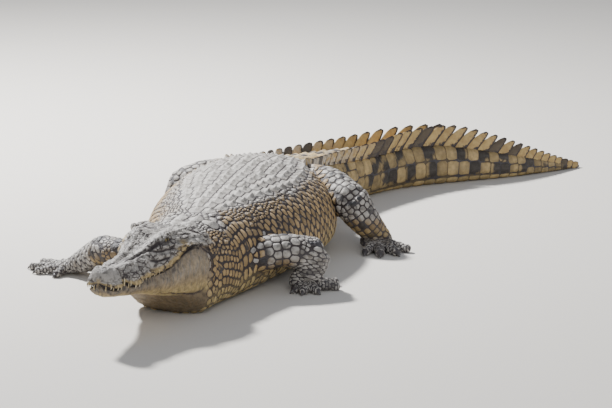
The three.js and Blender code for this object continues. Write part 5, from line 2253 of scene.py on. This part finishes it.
@dataclass(frozen=True)
class Hide:
    """Colours of the hide."""

    grey: tuple = (0.235, 0.215, 0.190)
    tan: tuple = (0.38, 0.255, 0.115)
    cream: tuple = (0.50, 0.38, 0.17)
    black: tuple = (0.022, 0.022, 0.028)
    groove: tuple = (0.040, 0.030, 0.029)
    # A pale grey, for worn patches and for painted highlights on keels and ridges.
    bleach_and_highlight: tuple = (0.52, 0.49, 0.45)
    slate: tuple = (0.070, 0.064, 0.068)
    ochre: tuple = (0.42, 0.27, 0.10)
    straw: tuple = (0.54, 0.38, 0.15)

    def _ground(self, nodes: Nodes, dark_by: float) -> bpy.types.NodeSocket:
        """The marked colour, before cracks and wear."""
        colour = nodes.mix(nodes.read("warm"), self.grey, self.tan)
        colour = nodes.mix(nodes.read("cream"), colour, self.cream)
        return nodes.mix(nodes.times(nodes.read("dark"), dark_by), colour, self.black)

    def _wrinkles(self, nodes: Nodes) -> bpy.types.NodeSocket:
        """The fine relief that all the hide shares."""
        return nodes.bump(nodes.noise(0.0035, 4.0, 0.65), 0.0012)

    def scales(self) -> bpy.types.Material:
        """The finish of the scales: paler keels, partly worn and partly painted highlight, dark edges and
        fine wrinkles.
        """
        nodes = Nodes("hide_scales")
        tone = nodes.times(nodes.span("luck", 0.0, 1.0, 0.72, 1.18), nodes.mottle(0.018, 0.78, 1.16))
        colour = nodes.toned(self._ground(nodes, 0.92), tone)
        patches = nodes.span(nodes.noise(0.03), 0.35, 0.6)
        worn = nodes.times(nodes.span("warm", 0.75, 0.15), patches, nodes.span("dark", 0.8, 0.2), 0.75)
        colour = nodes.mix(worn, colour, self.bleach_and_highlight)
        # Paler along the keels: partly wear, partly a painted highlight where light catches their tops.
        colour = nodes.mix(nodes.times(nodes.read("keel"), 0.45), colour, self.bleach_and_highlight)
        edge = nodes.math("ADD", nodes.read("inset"), nodes.mottle(0.006, -0.3, 0.3))
        colour = nodes.mix(nodes.span(edge, 1.1, 0.25), colour, self.groove)
        plates = nodes.span(nodes.cells(0.009, (1.0, 1.0, 1.6)), 0.0, 0.16)
        relief = nodes.bump(plates, 0.0006, self._wrinkles(nodes))
        return nodes.finish(Base_Color=colour, Roughness=nodes.mottle(0.012, 0.42, 0.66), Normal=relief)

    def skin(self) -> bpy.types.Material:
        """The finish of the skin: bare and cracked on the head, with painted shade along the mouth's line
        and round the eyes, dark between scales elsewhere.
        """
        nodes = Nodes("hide_skin")
        ground = nodes.toned(self._ground(nodes, 0.9), nodes.mottle(0.014, 0.70, 1.20))
        patches = nodes.span(nodes.noise(0.012), 0.30, 0.52)
        worn = nodes.times(nodes.span("warm", 0.4, 0.05), patches, nodes.span("crack", 0.45, 0.05), 0.7)
        # Paler on the head's ridge tops: partly wear, partly a painted highlight.
        ridge_wear_and_highlight = nodes.times(nodes.span("crack", -0.1, -0.6), nodes.span("warm", 0.8, 0.3))
        worn = nodes.times(nodes.math("MAXIMUM", worn, ridge_wear_and_highlight), nodes.span("dark", 0.7, 0.25), 0.85)
        ground = nodes.mix(worn, ground, self.bleach_and_highlight)
        # Dark in the cracks, and where the crack value holds painted shade, along the mouth's line and round
        # the eyes.
        bare = nodes.mix(nodes.span("crack", 0.15, 0.85), ground, self.groove)
        deep = nodes.mix(nodes.times(nodes.read("cream"), 0.35), self.groove, self.cream)
        deep = nodes.mix(nodes.span("dark", 0.2, 0.5), deep, self.slate)
        colour = nodes.mix(nodes.read("bare"), deep, bare)
        relief = nodes.bump(nodes.span(nodes.cells(0.005), 0.0, 0.2), 0.0007, self._wrinkles(nodes))
        return nodes.finish(Base_Color=colour, Roughness=nodes.mottle(0.012, 0.45, 0.7), Normal=relief)

    def crest(self) -> bpy.types.Material:
        """The finish of the crest's plates: ochre with painted shade along their hind edges, some wholly
        dark.
        """
        nodes = Nodes("hide_crest")
        colour = nodes.mix(nodes.mottle(0.02, 0.0, 1.0), self.ochre, self.straw)
        worn = nodes.times(nodes.read("pale"), nodes.span(nodes.noise(0.025), 0.35, 0.55))
        colour = nodes.mix(worn, colour, self.bleach_and_highlight)
        colour = nodes.mix(nodes.read("dark"), colour, self.black)
        # The edge value paints each plate's hind side in shade, and darkens its tip and its root.
        edge = nodes.math("ADD", nodes.read("edge"), nodes.mottle(0.008, -0.12, 0.12))
        colour = nodes.mix(nodes.span(edge, 0.32, 0.60), colour, self.groove)
        fine = nodes.bump(nodes.noise(0.004, 4.0, 0.6), 0.0012)
        relief = nodes.bump(nodes.noise(0.016, 2.0), 0.003, fine)
        return nodes.finish(Base_Color=colour, Roughness=nodes.mottle(0.012, 0.42, 0.62), Normal=relief)


@dataclass(frozen=True)
class EyeColours:
    """Colours of the eyeballs."""

    iris: tuple = (0.20, 0.15, 0.045)
    rim: tuple = (0.035, 0.028, 0.016)
    pupil: tuple = (0.004, 0.004, 0.004)

    def material(self) -> bpy.types.Material:
        """A wet eye: a flecked iris, darker towards its rim, with an upright slit."""
        nodes = Nodes("eye")
        fleck = nodes.span(nodes.noise(0.0012, 2.0), 0.35, 0.65)
        colour = nodes.mix(nodes.times(fleck, 0.6), self.iris, self.rim)
        colour = nodes.mix(nodes.span("iris", 0.6, 1.0), colour, self.rim)
        colour = nodes.mix(nodes.span("slit", 1.2, 0.8), colour, self.pupil)
        return nodes.finish(Base_Color=colour, Roughness=0.06)


@dataclass(frozen=True)
class Horn:
    """Teeth and claws: one colour at the root that turns to another at the tip."""

    root: tuple
    tip: tuple
    roughness: float = 0.35

    def material(self, name: str) -> bpy.types.Material:
        """The finish, streaked along its length."""
        nodes = Nodes(name)
        share = nodes.math("ADD", nodes.read("rise"), nodes.mottle(0.004, -0.2, 0.2))
        colour = nodes.mix(nodes.span(share, 0.25, 0.85), self.root, self.tip)
        relief = nodes.bump(nodes.noise(0.0025, 3.0), 0.0004)
        return nodes.finish(Base_Color=colour, Roughness=self.roughness, Normal=relief)


# ---- The studio.


@dataclass(frozen=True)
class Studio:
    """Camera, floor and soft light."""

    aim: tuple = (0.1, 0.2, 0.1)
    lamps: tuple = (
        # name, place, size, power
        ("key", (-3.4, 2.4, 4.7), 0.6, 1250.0), ("fill", (3.0, -6.0, 3.6), 3.5, 150.0),
    )
    floor_half: float = 14.0
    floor_colour: tuple = (0.66, 0.63, 0.58, 1.0)
    sky_colour: tuple = (0.82, 0.88, 1.0, 1.0)
    sky_strength: float = 0.42
    camera_at: tuple = (2.2235, -8.5312, 2.1624)
    camera_turn: float = 13.0
    camera_tilt: float = 77.5
    lens: float = 147.06

    def camera(self) -> None:
        """Places the camera."""
        data = bpy.data.cameras.new("camera")
        data.lens, data.sensor_width, data.clip_end = self.lens, 36.0, 100.0
        made = linked("camera", data)
        made.location = self.camera_at
        made.rotation_euler = (math.radians(self.camera_tilt), 0.0, math.radians(self.camera_turn))
        bpy.context.scene.camera = made

    def floor(self) -> None:
        """Lays a plain pale floor."""
        corners = self.floor_half * np.array([[-1, -1, 0], [1, -1, 0], [1, 1, 0], [-1, 1, 0]], float)
        made = object_of("floor", corners, [(0, 1, 2, 3)], outward=False)
        material = bpy.data.materials.new("floor")
        material.use_nodes = True
        shader = material.node_tree.nodes["Principled BSDF"]
        shader.inputs["Base Color"].default_value = self.floor_colour
        shader.inputs["Roughness"].default_value = 0.9
        made.data.materials.append(material)

    def lights(self) -> None:
        """Hangs a large soft key light, a weaker fill and an even sky."""
        world = bpy.data.worlds.new("studio")
        world.use_nodes = True
        sky = world.node_tree.nodes["Background"].inputs
        sky[0].default_value = self.sky_colour
        sky[1].default_value = self.sky_strength
        bpy.context.scene.world = world
        for name, spot, size, power in self.lamps:
            data = bpy.data.lights.new(name, "AREA")
            data.energy, data.size = power, size
            made = linked(name, data)
            made.location = spot
            way = Vector(self.aim) - Vector(spot)
            made.rotation_euler = way.to_track_quat("-Z", "Y").to_euler()


def ridden(piece: bpy.types.Object, material: bpy.types.Material) -> None:
    """Gives a piece its finish, joins it to the body and reports it."""
    piece.data.materials.append(material)
    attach(piece, BODY_NAME)
    LOG.info("%s: %d points, %d faces", piece.name, len(piece.data.vertices), len(piece.data.polygons))


def main() -> None:
    """Builds every piece in order."""
    logging.basicConfig(level=logging.INFO, format="%(message)s")
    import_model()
    studio, colours = Studio(), Hide()
    studio.camera()
    spine, body = Spine(), BodyForm()
    head = HeadForm(spine)
    markings = Markings(spine, body, head)
    skin = Skin(BodySurface(spine, body, head))
    hide = skin.build()
    markings.dress(hide, skin.on_limb)
    ridden(hide, colours.skin())
    limb_nodes = [name for limb in Limb for name in limb.value]
    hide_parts(*BODY_NODES, *limb_nodes)
    crest = Crest(spine, body)
    coat, scales = Coat(skin, crest), colours.scales()
    limb_names = [Patch[limb.name].value[0] for limb in Limb]
    for piece in coat.build():
        markings.dress(piece, float(piece.name in limb_names), coat.middles[piece.name])
        ridden(piece, scales)
    ivory = Horn(root=(0.42, 0.33, 0.17), tip=(0.62, 0.54, 0.38))
    slate = Horn(root=(0.045, 0.042, 0.045), tip=(0.085, 0.078, 0.075))
    ridden(crest.build(), colours.crest())
    ridden(Teeth(head).build(), ivory.material("ivory"))
    ridden(Claws().build(), slate.material("claw"))
    wet = EyeColours().material()
    for side in (-1, 1):
        eye = Eye(head, side)
        ball = eye.build()
        ridden(ball, wet)
        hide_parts(eye.node())
    studio.floor()
    studio.lights()


if __name__ == "__main__":
    main()
